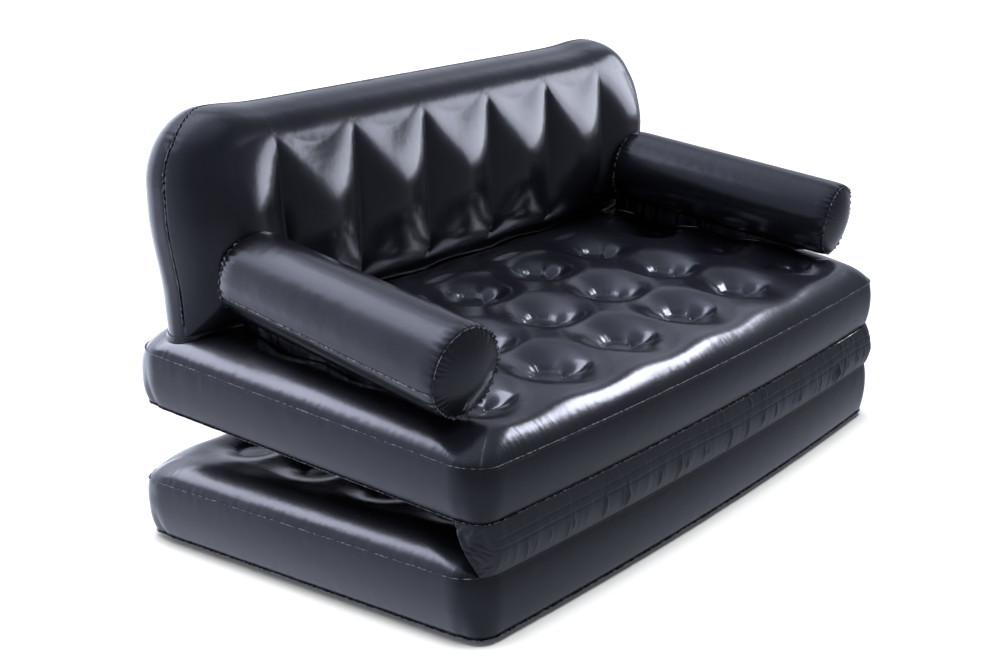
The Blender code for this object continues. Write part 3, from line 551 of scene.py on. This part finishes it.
# %% The backrest's two sheets
def back_depth(x, rise, face):
    """How far the front (face -1) or rear sheet stands from the seam's plane."""
    from_side = BACK_HALF - abs(x)
    from_top = BACK_HEIGHT - rise
    over = np.hypot(np.maximum(BACK_CORNER - from_side, 0), np.maximum(BACK_CORNER - from_top, 0))
    inset = BACK_CORNER - over
    full = np.sqrt(1 - (1 - np.clip(inset / BACK_CORNER, 0, 1)) ** ROLL_POWER)
    late = smoothstep(0, 0.22, np.maximum(from_side, 0))
    foot_share = 0.5 if face < 0 else 0.84
    foot = foot_share + (1 - foot_share) * (1 - (1 - np.clip(rise / 0.085, 0, 1)) ** 2.6)
    depth = (BACK_FRONT if face < 0 else BACK_REAR) * full * (0.93 + 0.07 * late) * foot
    share = channel_share(x)
    panel = share < 0
    bell = np.sin(np.clip(share, 0, 1) * math.pi)
    from_crease = np.clip(abs(x) - OUTER_CREASE, 0, BACK_HALF - OUTER_CREASE)
    end_arc = np.sin(np.clip(from_crease / 0.105, 0, 1) * math.pi / 2)
    end_arc = end_arc * (1 - 0.75 * smoothstep(0.10, 0.209, from_crease))
    arc = np.where(panel, end_arc, bell ** 0.92)
    sag = np.where(panel, np.minimum(from_crease / 0.12, 1) * 0.8, bell ** 1.2)
    top = CREASE_TIP + 0.010 - SHOULDER_SAG * sag
    below = np.clip((top - rise) / SHOULDER_DROP, 0, 1)
    shoulder = np.sin(below * math.pi / 2) ** 1.25
    low = smoothstep(-0.005, 0.175, rise)
    swell = (FRONT_SWELL if face < 0 else REAR_SWELL) * arc * shoulder * low
    crease = np.exp(-np.minimum(abs(share), abs(1 - share)) * CREASE_PITCH / 0.007) * (~panel)
    below_tip = 1 - smoothstep(CREASE_TIP - 0.04, CREASE_TIP + 0.004, rise)
    crease = crease * smoothstep(0.02, 0.07, rise) * below_tip
    return depth + swell - CREASE_DEPTH * crease * (face < 0)


def depth_towards(face, x, rise):
    """Depth of the sheet on the side that face, below or above 0, stands for."""
    return np.where(face < 0, back_depth(x, rise, -1), back_depth(x, rise, 1))


def outline_run(x, rise):
    """Length along the backrest's outline from its foot, and the way out of the outline."""
    middle_x = np.clip(x, BACK_CORNER - BACK_HALF, BACK_HALF - BACK_CORNER)
    middle_z = np.minimum(rise, BEND)
    step_x, step_z = x - middle_x, rise - middle_z
    length = np.maximum(np.hypot(step_x, step_z), 1e-9)
    turn = np.arctan2(step_z, abs(step_x))
    run = middle_z + BACK_CORNER * turn + (BACK_HALF - BACK_CORNER - abs(middle_x))
    return run, step_x / length, step_z / length


def seam_depth(run):
    """How far the seam lies in front of the widest line: it slips back over the top."""
    return 0.022 - 0.024 * smoothstep(BEND + 0.08, BEND + 0.22, run)


def foot_taper(x, rise):
    """How far the backrest narrows towards its foot."""
    return FOOT_TAPER * (1 - smoothstep(0.05, 0.22, rise)) * smoothstep(0.3, 1.0, abs(x) / BACK_HALF)


def ears(x, rise):
    """How far the two upper corners stand up over the middle."""
    return 0.007 * np.exp(-(((abs(x) - 0.61) / 0.075) ** 2)) * smoothstep(0.25, 0.39, rise)


def back_level(x, y, rise):
    """Height of the backrest's level at this rise: it follows the seat at the foot."""
    foot = seat_top(x, y)
    return foot + (seat_ridge(BACK_Y) - foot) * smoothstep(0, 0.07, rise)


def gathers(run, off):
    """Depth of the pleats at the round corners, at a distance off the seam (behind it where positive)."""
    corner = smoothstep(BEND - 0.07, BEND + 0.01, run) * (1 - smoothstep(BEND + 0.15, BEND + 0.23, run))
    wave = 0.5 + 0.5 * np.sin(2 * math.pi * run / 0.0165 + 1.9 * np.sin(run * 61) + 1.2 * np.sin(run * 137))
    wave = wave * (0.65 + 0.35 * np.sin(run * 93))
    fade = np.exp(-abs(off) / np.where(off > 0, 0.011 + 0.006 * np.sin(run * 71), 0.006))
    return 0.0026 * corner * wave * fade


# %% The backrest from its blank
def backrest():
    columns, rows, rings = ((380, 104, 24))
    piece = pillow_blank("backrest_vinyl", columns, rows, rings)
    blank = points_of(piece)
    face = -blank[:, 2]
    sheet = abs(face) > 0.999
    inset = edge_inset(EDGE_SHARE * np.minimum(abs(face), 1))
    half, tall, radius = BACK_HALF - inset, BACK_HEIGHT - inset, BACK_CORNER - inset
    x = finer_at_edges(blank[:, 0], 0.30) * half
    rise = (0.5 + finer_at_edges(blank[:, 1], 0.35) / 2) * tall
    round_x, round_z = rounded(x, rise - tall / 2, half, tall / 2, radius)
    upper = rise > tall - radius
    x, rise = np.where(upper, round_x, x), np.where(upper, round_z + tall / 2, rise)
    edge = edge_inset(EDGE_SHARE)
    edge_x = np.clip(x, edge - BACK_HALF, BACK_HALF - edge)
    side = np.where(face < 0, -1, 1)
    depth = depth_towards(face, x, rise)
    on_foot = (blank[:, 1] < -0.999) & (abs(blank[:, 0]) < 0.999)
    depth = np.where(~sheet & on_foot, depth_towards(face, edge_x, rise) * abs(face), depth)
    run, out_x, out_z = outline_run(x, rise)
    off = side * depth + seam_depth(run)
    from_middle = x - np.clip(x, BACK_CORNER - BACK_HALF, BACK_HALF - BACK_CORNER)
    over = np.hypot(from_middle, np.maximum(rise - BACK_HEIGHT + BACK_CORNER, 0))
    inside = np.maximum(BACK_CORNER - over - SEAM_INSET, 0)
    gap = np.hypot(off, np.where(face < 0, inside, 0))
    signed = np.where(off > 0, gap, -gap)
    pull = gathers(run, signed) + 0.0015 * np.exp(-((gap / 0.0024) ** 2))
    pull = np.where(on_foot, 0, pull)
    y = BACK_Y + BACK_LEAN * rise / BACK_HEIGHT + side * depth
    place_x = x - np.sign(x) * foot_taper(x, rise) - out_x * pull
    z = back_level(place_x, y, rise) + LAID_GAP + rise + ears(x, rise) - out_z * pull
    move_points(piece, np.stack([place_x, y + CENTRE_Y, z], axis=1))
    share = channel_share(x)
    to_crease = np.minimum(abs(share), abs(1 - share)) * CREASE_PITCH
    tip = np.hypot(to_crease, rise - CREASE_TIP)
    pucker = np.maximum(np.exp(-gap / 0.014), np.where(face < 0, 0.6 * np.exp(-tip / 0.016), 0))
    store(piece, "pucker", np.maximum(pucker, np.where(share >= 0, 0.2 * np.exp(-to_crease / 0.008), 0)))
    tip_turn = np.arctan2(rise - CREASE_TIP, np.where(share > 0.5, share - 1, share) * CREASE_PITCH)
    rim = np.stack([run * HAIR_RATE, depth * 9, 0 * depth], axis=1)
    own = tip * 14 + np.round(x / CREASE_PITCH + 0.5)
    fan = np.stack([np.cos(tip_turn) * 4, np.sin(tip_turn) * 4, own], axis=1)
    store(piece, "flow", np.where((tip < 0.07)[:, None], fan, rim))
    outward(piece)
    piece.data.materials.append(black_pvc)
    return piece


back = backrest()
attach(back, "seat_and_backrest")
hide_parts("backrest_chamber")

# %% [markdown]
# The foot of the backrest is welded to the seat by a narrow skirt of vinyl that runs
# all the way round. It flares out onto the seat, so it is a closed band between a
# line on the backrest and a line on the seat.

# %% The skirt round the backrest's foot
def foot_loop(rise, spread, count):
    """Evenly spaced points round the backrest at this rise, pushed out by spread."""
    edge = edge_inset(EDGE_SHARE)
    straight = np.linspace(edge - BACK_HALF, BACK_HALF - edge, 400)
    face = np.linspace(-1, 1, 40)[1:-1]
    depth = abs(face) * depth_towards(face, BACK_HALF - edge + 0 * face, rise)
    end_x, end_y = BACK_HALF - edge_inset(EDGE_SHARE * abs(face)), np.sign(face) * depth
    x = np.concatenate([straight, end_x, straight[::-1], -end_x[::-1]])
    front, rear = -back_depth(straight, rise, -1), back_depth(straight[::-1], rise, 1)
    y = np.concatenate([front, end_y, rear, end_y[::-1]])
    x = x - np.sign(x) * foot_taper(x, rise)
    y = y + BACK_Y + BACK_LEAN * rise / BACK_HEIGHT
    ring = np.stack([np.append(x, x[0]), np.append(y, y[0])], axis=1)
    length = np.concatenate([[0], np.cumsum(np.hypot(*np.diff(ring, axis=0).T))])
    places = np.linspace(0, length[-1], count + 1)
    even = np.stack([np.interp(places, length, ring[:, axis]) for axis in (0, 1)], axis=1)
    ahead = np.roll(even[:-1], -1, axis=0) - np.roll(even[:-1], 1, axis=0)
    ahead = np.concatenate([ahead, ahead[:1]])
    ahead = ahead / np.maximum(np.hypot(*ahead.T), 1e-9)[:, None]
    return even + np.stack([ahead[:, 1], -ahead[:, 0]], axis=1) * spread


SKIRT_COUNT = 1200
SKIRT_HIGH = 0.009
upper_loop, lower_loop = foot_loop(SKIRT_HIGH, 0.0010, SKIRT_COUNT), foot_loop(0.001, 0.006, SKIRT_COUNT)


def skirt_shape(along, across):
    step = along * SKIRT_COUNT
    index = np.arange(SKIRT_COUNT + 1)
    top = np.stack([np.interp(step, index, upper_loop[:, k]) for k in (0, 1)], axis=1)
    foot = np.stack([np.interp(step, index, lower_loop[:, k]) for k in (0, 1)], axis=1)
    bend = across**0.7
    place = top + (foot - top) * (across**1.5)[:, None]
    high = seat_top(top[:, 0], top[:, 1]) + SKIRT_HIGH
    low = seat_top(foot[:, 0], foot[:, 1]) + 0.0009
    wave = 0.0005 * ripple(step / SKIRT_COUNT * 3.3 * 2.0, 5.0)
    wave = np.where((along < 0.0001) | (along > 0.9999), 0.0, wave)
    z = high + (low - high) * bend + wave * np.sin(across * math.pi)
    return np.stack([place[:, 0], place[:, 1] + CENTRE_Y, z], axis=1)


skirt = band("backrest_foot_skirt", SKIRT_COUNT, 6, skirt_shape, 0.0008, black_pvc)
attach(skirt, "seat_and_backrest")
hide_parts("backrest_weld_flange")


# %% [markdown]
# ## The arms
# An arm is a barrel of vinyl with a round disc welded in each end. The weld gathers
# the sheets, so both the barrel and the disc pucker round the rim. The barrel starts
# as a sphere whose rings are moved out into the barrel's profile.

# %% Places of the arms
ARM_RADIUS, ARM_RIM_RADIUS, ARM_LENGTH = 0.0832, 0.0785, 0.522
ARM_REAR, ARM_ALONG = (0.64114, 0.1909, 0.53001), (0.08977, -0.98641, -0.13762)
ARM_ACROSS, ARM_UP = (0.99588, 0.09063, 0.0), (0.01247, -0.13705, 0.99049)
REAR_RIM, CAP_SHARE, GATHER_DEPTH, SEAM_WIDTH = -0.008, 0.16, 0.0036, 0.0036


def arm_places(side, radius, turn, place):
    """Places of points given by radius, turn round the arm and length along it."""
    across = (ARM_ACROSS[0], ARM_ACROSS[1] * side, 0.0)
    upright, ahead = (ARM_UP[0] * side, *ARM_UP[1:]), (ARM_ALONG[0] * side, *ARM_ALONG[1:])
    local = np.stack([radius * np.cos(turn), radius * np.sin(turn), place], axis=1)
    middle = np.array([ARM_REAR[0] * side, ARM_REAR[1] + CENTRE_Y, ARM_REAR[2]])
    return local @ np.array([across, upright, ahead]) + middle


def barrel_radius(to_rim):
    """Radius of the barrel at a distance from the nearer rim."""
    grow = np.sqrt(1 - (1 - np.clip(to_rim / 0.030, 0, 1)) ** 2.0)
    return ARM_RIM_RADIUS + (ARM_RADIUS - ARM_RIM_RADIUS) * grow


def rim_wave(turn, side):
    """The uneven pleats round a rim, between -1 and 1."""
    return np.sin(38 * turn + 1.8 * np.sin(5 * turn + side) + 0.9 * np.sin(9 * turn))


# %% One arm from a sphere
def arm(side, name):
    segments, rings = ((336, 132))
    deselect()
    bpy.ops.mesh.primitive_uv_sphere_add(segments=segments, ring_count=rings, radius=1)
    piece = bpy.context.object
    piece.name = name
    ball = points_of(piece)
    share = np.arccos(np.clip(ball[:, 2], -1, 1)) / math.pi
    turn = np.arctan2(ball[:, 1], ball[:, 0])
    rear, front = share > 1 - CAP_SHARE + 1e-6, share < CAP_SHARE - 1e-6
    ends = front | rear
    disc = np.where(front, share / CAP_SHARE, np.where(rear, (1 - share) / CAP_SHARE, 1.0))
    disc = 1 - (1 - disc) ** 1.7
    along = np.clip((1 - CAP_SHARE - share) / (1 - 2 * CAP_SHARE), 0, 1)
    along = 0.5 + finer_at_edges(2 * along - 1, 0.8) / 2
    place = along * ARM_LENGTH
    to_rim = np.minimum(place, ARM_LENGTH - place)
    radius = barrel_radius(to_rim) * np.where(ends, disc, 1.0)
    crown = np.where(front, 0.018, 0.012) * (1 - disc ** 2.2)
    place = place + REAR_RIM * (1 - smoothstep(0, 0.12, place))
    place = np.where(front, ARM_LENGTH + crown, np.where(rear, REAR_RIM - crown, place))
    from_rim = np.where(ends, (1 - disc) * ARM_RIM_RADIUS, to_rim)
    gather = (0.5 + 0.5 * rim_wave(turn, side)) * (0.75 + 0.25 * np.sin(3 * turn + 1))
    fold = np.exp(-from_rim / 0.0085) * (1 - np.exp(-from_rim / 0.0012))
    groove = 0.0022 * np.exp(-((from_rim / 0.0016) ** 2))
    radius = radius - np.where(ends, 0, GATHER_DEPTH * gather * fold) - groove
    place = place - np.where(front, 1, np.where(rear, -1, 0)) * GATHER_DEPTH * gather * fold
    move_points(piece, arm_places(side, radius, turn, place))
    store(piece, "pucker", np.exp(-from_rim / 0.018))
    store(piece, "flow", np.stack([np.cos(turn) * 6, np.sin(turn) * 6, from_rim * 12 + side * 9], axis=1))
    outward(piece)
    piece.data.materials.append(black_pvc)
    return piece


left_arm, right_arm = arm(-1, "left_arm_vinyl"), arm(1, "right_arm_vinyl")
for barrel, node in ((left_arm, "left_arm_chamber"), (right_arm, "right_arm_chamber")):
    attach(barrel, "seat_and_backrest")
    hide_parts(node)


# %% [markdown]
# A barrel is rolled from one sheet, so a straight weld runs along its outer side. Its
# rims are beaded where the weld gathers both sheets. An upright flap below the barrel
# ties it to the seat.

# %% The long seam, the rims and the flap of each arm
def arm_seam_shape(side):
    middle = math.radians(197 if side < 0 else -17)

    def shape(along, across):
        place = 0.006 + along * (ARM_LENGTH - 0.012)
        lift = 0.0006 + 0.0003 * ripple(place * 3, 2.0)
        radius = barrel_radius(np.minimum(place, ARM_LENGTH - place)) + lift
        return arm_places(side, radius, middle + (across - 0.5) * SEAM_WIDTH / ARM_RADIUS, place)

    return shape


def arm_rim_shape(side, end):
    middle, outwards = (ARM_LENGTH, 1) if end else (REAR_RIM, -1)

    def shape(along, across):
        turn = 2 * math.pi * along
        wave = rim_wave(turn, side)
        width = SEAM_WIDTH * (across - 0.25) * (0.8 + 0.35 * np.sin(7 * turn + 2))
        radius = ARM_RIM_RADIUS - 0.0010 + width + 0.0010 * wave
        return arm_places(side, radius, turn, middle + outwards * (width * 0.55 + 0.0016 * wave * across))

    return shape


def arm_flap_shape(side):
    def shape(along, across):
        place = -0.032 + along * 0.512
        top = arm_places(side, ARM_RADIUS + 0.0006 + 0 * place, -math.pi / 2 + 0 * place, place)
        foot = seat_top(top[:, 0], top[:, 1] - CENTRE_Y) + 0.0008
        wave = 0.0022 * ripple(place * 2.4, 3.0 + side) * np.sin(across * math.pi)
        cut = smoothstep(0, 0.10, 1 - along)
        high = np.maximum(top[:, 2], foot + 0.001)
        foot = high + (foot - high) * cut - 0.0005
        return np.stack([top[:, 0] + wave, top[:, 1], high + (foot - high) * across], axis=1)

    return shape


for side, prefix in ((-1, "left_arm"), (1, "right_arm")):
    seam = band(prefix + "_long_seam", 90, 3, arm_seam_shape(side), 0.0006, weld_pvc)
    flap = band(prefix + "_foot_flap", 150, 8, arm_flap_shape(side), 0.0006, black_pvc)
    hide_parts(prefix + "_weld_flap")
    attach(flap, "seat_and_backrest")
    rear_rim = band(prefix + "_rear_rim", 460, 2, arm_rim_shape(side, 0), 0.0008, weld_pvc)
    front_rim = band(prefix + "_front_rim", 460, 2, arm_rim_shape(side, 1), 0.0008, weld_pvc)
    for piece in (seam, rear_rim, front_rim):
        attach(piece, "seat_and_backrest")


# %% [markdown]
# ## Seam lips
# Where two sheets are welded, a few millimetres of both stand out as one thin lip.
# It is what draws every seam as a fine bright or dark line, along with the light flecks painted on its finish
# as glints.

# %% Lips round the mattresses
def outline(share):
    """Places round the mattress's outline, and the way out, from a share of its length."""
    half_x, half_y, quarter_arc = HALF_WIDTH - CORNER, HALF_DEPTH - CORNER, CORNER * math.pi / 2
    sides = np.array([2 * half_x, quarter_arc, 2 * half_y, quarter_arc] * 2)
    ends = np.cumsum(sides)
    run = np.clip(share, 0, 1) % 1.0 * ends[-1]
    side = np.minimum(np.searchsorted(ends, run, side="right"), 7)
    local = run - (ends - sides)[side]
    quarter, bend = side // 2, side % 2 == 1
    turn = (quarter - 1) * math.pi / 2 + np.where(bend, local / CORNER, 0)
    corners = np.array([(-half_x, -half_y), (half_x, -half_y), (half_x, half_y), (-half_x, half_y)])
    centre = corners[(quarter + bend) % 4]
    ahead = np.stack([np.cos(quarter * math.pi / 2), np.sin(quarter * math.pi / 2)], axis=1)
    centre = centre + ahead * np.where(bend, 0, local)[:, None]
    out = np.stack([np.cos(turn), np.sin(turn)], axis=1)
    return centre + out * CORNER, out, run


def lip_shape(height, push, tilt, width):
    def shape(along, across):
        place, out, run = outline(along)
        x, y = place[:, 0], place[:, 1]
        step = push(out[:, 1]) + (across * width) * math.cos(tilt) - 0.0004 + 0.0004 * ripple(run, tilt)
        z = height(y) + (across * width) * math.sin(tilt) + 0.0003 * ripple(run * 1.7, 2.0)
        return np.stack([x + out[:, 0] * step, y - front_bow(x, y) + out[:, 1] * step + CENTRE_Y, z], axis=1)

    return shape


LIP_COUNT = 1400
LIP_WIDTH, LIP_THICKNESS = 0.0034, 0.0009
SEAT_LIP, BASE_LIP = ("seat_and_backrest", SEAT_INSET, 0), ("base_mattress", BASE_INSET, BASE_SPREAD)
for name, height, tilt, share, (body, inset, spread) in (
    ("seat_top_lip", seat_high, 0.25, 1, SEAT_LIP),
    ("seat_low_lip", seat_low, 0.1, 0, SEAT_LIP),
    ("base_top_lip", base_high, 0.25, 1, BASE_LIP),
    ("base_low_lip", base_low, -0.3, 0, BASE_LIP),
):
    def push(out_y):
        return wall_push(share + 0 * out_y, out_y, inset, spread)

    piece = band(name, LIP_COUNT, 2, lip_shape(height, push, tilt, LIP_WIDTH), LIP_THICKNESS, weld_pvc)
    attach(piece, body)


# %% The lip round the backrest
def back_lip_shape(along, across):
    top = BACK_HALF - BACK_CORNER
    half_length = BEND + BACK_CORNER * math.pi / 2 + top
    side = np.where(along < 0.5, -1, 1)
    run = 0.024 + (1 - abs(2 * along - 1)) * (half_length - 0.024)
    turn = np.clip((run - BEND) / BACK_CORNER, 0, math.pi / 2)
    at_corner = smoothstep(BEND - 0.06, BEND, run) * (1 - smoothstep(BEND + 0.17, BEND + 0.23, run))
    bead = np.sin(2 * math.pi * run / 0.0125 + 1.6 * np.sin(run * 57)) * at_corner
    radius = BACK_CORNER - SEAM_INSET - gathers(run, 0 * run) - 0.0008 + across * (0.0032 + 0.0012 * bead)
    x = side * (top - np.clip(run - BEND - BACK_CORNER * math.pi / 2, 0, top) + np.cos(turn) * radius)
    rise = np.minimum(run, BEND) + np.sin(turn) * radius
    y = BACK_Y + BACK_LEAN * rise / BACK_HEIGHT - seam_depth(run) - 0.0005 * across
    place_x = x - side * foot_taper(x, rise)
    z = back_level(place_x, y, rise) + LAID_GAP + rise + ears(x, rise)
    return np.stack([place_x, y + CENTRE_Y, z], axis=1)


back_lip = band("backrest_lip", 900, 2, back_lip_shape, LIP_THICKNESS, weld_pvc)
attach(back_lip, "seat_and_backrest")


# %% [markdown]
# ## The hinge strip
# A strip of duller vinyl joins the two mattresses along their front edges and a little
# way round the corners. Two weld lines run along its upper part. It is slightly longer
# than the edges that it joins, so it gathers below the welds and crumples at its ends.
# It is one sheet. On the real bed the strip bends about its fold line when the bed opens.

# %% The strip from a grid
STRIP_TOP, STRIP_LOW, STRIP_HALF, STRIP_SLANT = 0.2185, 0.1295, 0.786, 0.046
STRIP_STAND, STRIP_BELLY, STRIP_WELD, STRIP_FOLDS = 0.0030, 0.0125, 0.0014, 84


def front_run(run):
    """Places along the front outline and round its corners, from a length off the middle."""
    straight = HALF_WIDTH - CORNER
    turn = np.clip((abs(run) - straight) / CORNER, 0, 2)
    x = np.sign(run) * (np.minimum(abs(run), straight) + CORNER * np.sin(turn))
    y = -HALF_DEPTH + CORNER * (1 - np.cos(turn))
    return x, y, np.sign(run) * np.sin(turn), -np.cos(turn)


def strip_folds(run, down):
    """Short upright folds at uneven distances, most of them below the weld lines."""
    folds = 0 * run
    for k in range(STRIP_FOLDS):
        middle = -STRIP_HALF + 2 * STRIP_HALF * ((k * 0.61803 + 0.13 * math.sin(k * 2.3)) % 1.0)
        width = 0.0026 + 0.0024 * abs(math.sin(k * 1.7))
        depth = 0.0016 + 0.0014 * math.sin(k * 3.1)
        start = 0.40 + 0.25 * abs(math.sin(k * 0.9)) if k % 4 else 0.02
        end = 0.86 + 0.12 * math.sin(k * 1.3) if k % 4 else 0.24
        lean = 0.010 * math.sin(k * 5.3)
        shape = np.exp(-(((run - middle - lean * (down - 0.5)) / width) ** 2))
        shape = shape * smoothstep(start - 0.12, start + 0.10, down)
        folds = folds + depth * shape * (1 - smoothstep(end - 0.14, end + 0.10, down))
    return folds


def strip_shape(along, down):
    run = (2 * along - 1) * (STRIP_HALF - STRIP_SLANT * down)
    x, y, out_x, out_y = front_run(run)
    bow = front_bow(x, y)
    crumple = smoothstep(0.715, 0.735, abs(run))
    seat_edge = wall_push(0 * run, out_y, SEAT_INSET, 0)
    base_edge = wall_push(1 + 0 * run, out_y, BASE_INSET, BASE_SPREAD)
    crush = 0.0024 * np.sin(run * 260 + 9 * np.sin(down * 7)) * np.sin(down * 11 + np.sin(run * 150))
    crush = crush + 0.0016 * ripple(run * 2.1 + down * 0.03, 2.0)
    belly = (STRIP_BELLY - 0.007 * crumple) * np.sin(np.clip(down, 0, 1) * math.pi) ** 0.8
    wander = 0.02 * np.sin(run * 7.3) + 0.012 * np.sin(run * 17 + 1)
    weld = np.exp(-(((down - 0.24 - wander) / 0.018) ** 2))
    weld = weld + 0.8 * np.exp(-(((down - 0.42 - wander) / 0.018) ** 2))
    slack = 0.0011 * ripple(run * 0.9, 4.0) * np.sin(down * math.pi)
    stand = STRIP_STAND + seat_edge + (base_edge - seat_edge) * down + belly + slack
    stand = stand + (strip_folds(run, down) - STRIP_WELD * weld) * (1 - crumple)
    stand = stand + crush * crumple * np.sin(down * math.pi) ** 0.5
    z = STRIP_TOP + (seat_low(y) - SEAT_LOW_FRONT) * (1 - down) + (STRIP_LOW - STRIP_TOP) * down
    return np.stack([x + out_x * stand, y - bow + out_y * stand + CENTRE_Y, z], axis=1)


STRIP_GRID = ((980, 44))
strip = band("hinge_strip_vinyl", *STRIP_GRID, strip_shape, 0.0006, strip_pvc)
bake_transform(strip)
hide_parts("seat_hinge_flap", "base_hinge_flap")

# %% [markdown]
# ## Finishes of the frame's own pieces
# The valves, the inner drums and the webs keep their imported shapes, and get the
# finishes of their own stuff.

# %% Finishes by name
for name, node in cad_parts.items():
    if "valve" in name:
        finish = valve_plastic
    elif "coil" in name or "web" in name:
        finish = inner_pvc
    elif "flap" in name:
        finish = strip_pvc
    else:
        finish = black_pvc
    node.data.materials.clear()
    node.data.materials.append(finish)
print("frame finishes set")


# %% [markdown]
# ## Floor, light and camera
# The sofa stands on a plain pale floor. Black vinyl shows only what it reflects, so
# the lights are soft panels. Two behind on the left draw the bright bands on the left
# rolls and on the arms, one high on the right draws the band on the seat's front roll,
# and one low on the right lights the backrest's channels. Each lights only its own
# pieces. The sky is bright behind the sofa and dim in front of it.

# %% The floor
deselect()
bpy.ops.mesh.primitive_grid_add(x_subdivisions=4, y_subdivisions=4, size=60, location=(0, 0, -0.0002))
floor = bpy.context.object
floor.name = "floor"
bpy.ops.object.transform_apply(location=True, rotation=True, scale=True)
floor_finish = Finish("pale_floor")
floor_finish.set("Base Color", (0.93, 0.885, 0.77, 1.0))
floor_finish.set("Roughness", 0.9)
floor_finish.set("Specular IOR Level", 0.0)
floor_finish.set("Emission Color", (1.0, 1.0, 1.0, 1.0))
floor_finish.set("Emission Strength", 0.02)
floor.data.materials.append(floor_finish.material)
floor.visible_glossy = False


# %% Soft panels
def hang(lamp, place, aim):
    holder = bpy.data.objects.new(lamp.name, lamp)
    bpy.context.scene.collection.objects.link(holder)
    way = Vector(aim) - Vector(place)
    holder.matrix_world = Matrix.Translation(place) @ way.to_track_quat("-Z", "Y").to_matrix().to_4x4()
    holder.visible_camera = False
    return holder


COOL = (0.87, 0.90, 1.0)
SOFT, CRISP = ((1.0, 0.2), (0.72, 0.3), (0.45, 0.5)), ((1.0, 1.0),)


def soft_panel(name, place, aim, width, height, radiance, layers, pieces):
    """Panels inside each other, which fade towards their edge and light only the given pieces."""
    reach = bpy.data.collections.new(name + "_reach")
    for piece in pieces:
        reach.objects.link(piece)
    for number, (share, weight) in enumerate(layers):
        lamp = bpy.data.lights.new(f"{name}_{number}", "AREA")
        lamp.shape, lamp.color = "RECTANGLE", COOL
        lamp.size, lamp.size_y = width * share, height * share
        lamp.energy = radiance * weight * math.pi * (width * share) * (height * share)
        hang(lamp, place, aim).light_linking.receiver_collection = reach


soft_panel("back_left_panel", (-0.82, 1.75, 2.70), (-0.72, 0, 0.34), 2.0, 2.2, 35.0, SOFT, (seat, base))
soft_panel("arm_panel", (-1.0, 1.80, 2.65), (-0.65, 0, 0.5), 1.9, 2.4, 9.5, SOFT, (left_arm, right_arm))
soft_panel("right_panel", (2.10, -1.08, 2.20), (-0.35, -0.4, 0.36), 1.15, 0.95, 22.0, CRISP, (seat,))
soft_panel("low_right_panel", (2.9, -1.2, 1.48), (-0.1, 0.2, 0.75), 2.5, 1.4, 26.0, SOFT, (back,))
glow = bpy.data.lights.new("overhead_glow", "SUN")
glow.energy, glow.angle, glow.color = 4.0, math.radians(34), (0.82, 0.87, 1.0)
hang(glow, (0, 0, 5), (0.25, 0.35, 0)).visible_glossy = False

# %% The sky
world = bpy.data.worlds.new("studio")
bpy.context.scene.world = world
world.use_nodes = True
world.node_tree.nodes.clear()
sky = Shades(world.node_tree)
way = sky.node("ShaderNodeTexCoord", output="Generated")
to_x, to_y, to_z = (sky.node("ShaderNodeSeparateXYZ", (), {0: way}, axis) for axis in ("X", "Y", "Z"))
behind = sky.rise(to_y, -0.45, 1.15)
shade = sky.rise(to_z, 0.57, 0.64) * sky.rise(to_x, 0.2, 0.6)
above = sky.rise(to_z, 0.75, 0.98) * sky.rise(to_x * 0.77 + to_y * 0.57, -0.75, 0.05)
floor_light = sky.rise(to_z * -1.0, 0.05, 0.50)
glow_right = sky.rise(to_z, 0.33, 0.45) * sky.rise(to_x, 0.45, 0.70) * sky.rise(to_y, 0.0, 0.3)
plate = sky.rise(to_x, 0.55, 0.72) * sky.rise(to_y, 0.28, 0.42) * sky.rise(to_z, 0.31, 0.40)
over_back = sky.rise(to_z, 0.62, 0.82) * sky.rise(to_y, 0.15, 0.50)
horizon = sky.rise(to_y, 0.70, 0.90) * sky.rise(to_z, -0.50, -0.30)
strength = (behind * 1.1 + glow_right * 0.6) * (1.0 - shade * 0.75) * (1.0 - plate * 0.65)
strength = strength + 0.25 + above * 0.5 + over_back * 1.5 + horizon * 2.0 + floor_light * 0.30
room = sky.node("ShaderNodeBackground", (), {"Color": (0.79, 0.84, 1.0, 1.0), "Strength": strength})
backdrop = sky.node("ShaderNodeBackground", (), {"Color": (1.0, 1.0, 1.0, 1.0), "Strength": 1.0})
seen = sky.node("ShaderNodeLightPath", output="Is Camera Ray")
both = sky.node("ShaderNodeMixShader", (), {0: seen, 1: room, 2: backdrop})
end = sky.tree.nodes.new("ShaderNodeOutputWorld")
sky.tree.links.new(both.socket, end.inputs["Surface"])
bpy.context.scene.view_settings.view_transform = "Standard"

# %% The camera
azimuth, elevation, roll = map(math.radians, (-53.73506, 16.93564, 0.24014))
level = math.cos(elevation)
back_way = Vector((math.sin(azimuth) * level, -math.cos(azimuth) * level, math.sin(elevation)))
right_way = Vector((math.cos(azimuth), math.sin(azimuth), 0.0))
up_way = back_way.cross(right_way)
tilted_x = right_way * math.cos(roll) + up_way * math.sin(roll)
tilted_y = up_way * math.cos(roll) - right_way * math.sin(roll)
lens = bpy.data.cameras.new("camera")
lens.lens, lens.sensor_width = 60.8809, 36.0
camera = bpy.data.objects.new("camera", lens)
bpy.context.scene.collection.objects.link(camera)
turned = Matrix((tilted_x, tilted_y, back_way)).transposed().to_4x4()
camera.matrix_world = Matrix.Translation((-2.76740811, -1.91116372, 1.32269355)) @ turned
bpy.context.scene.camera = camera
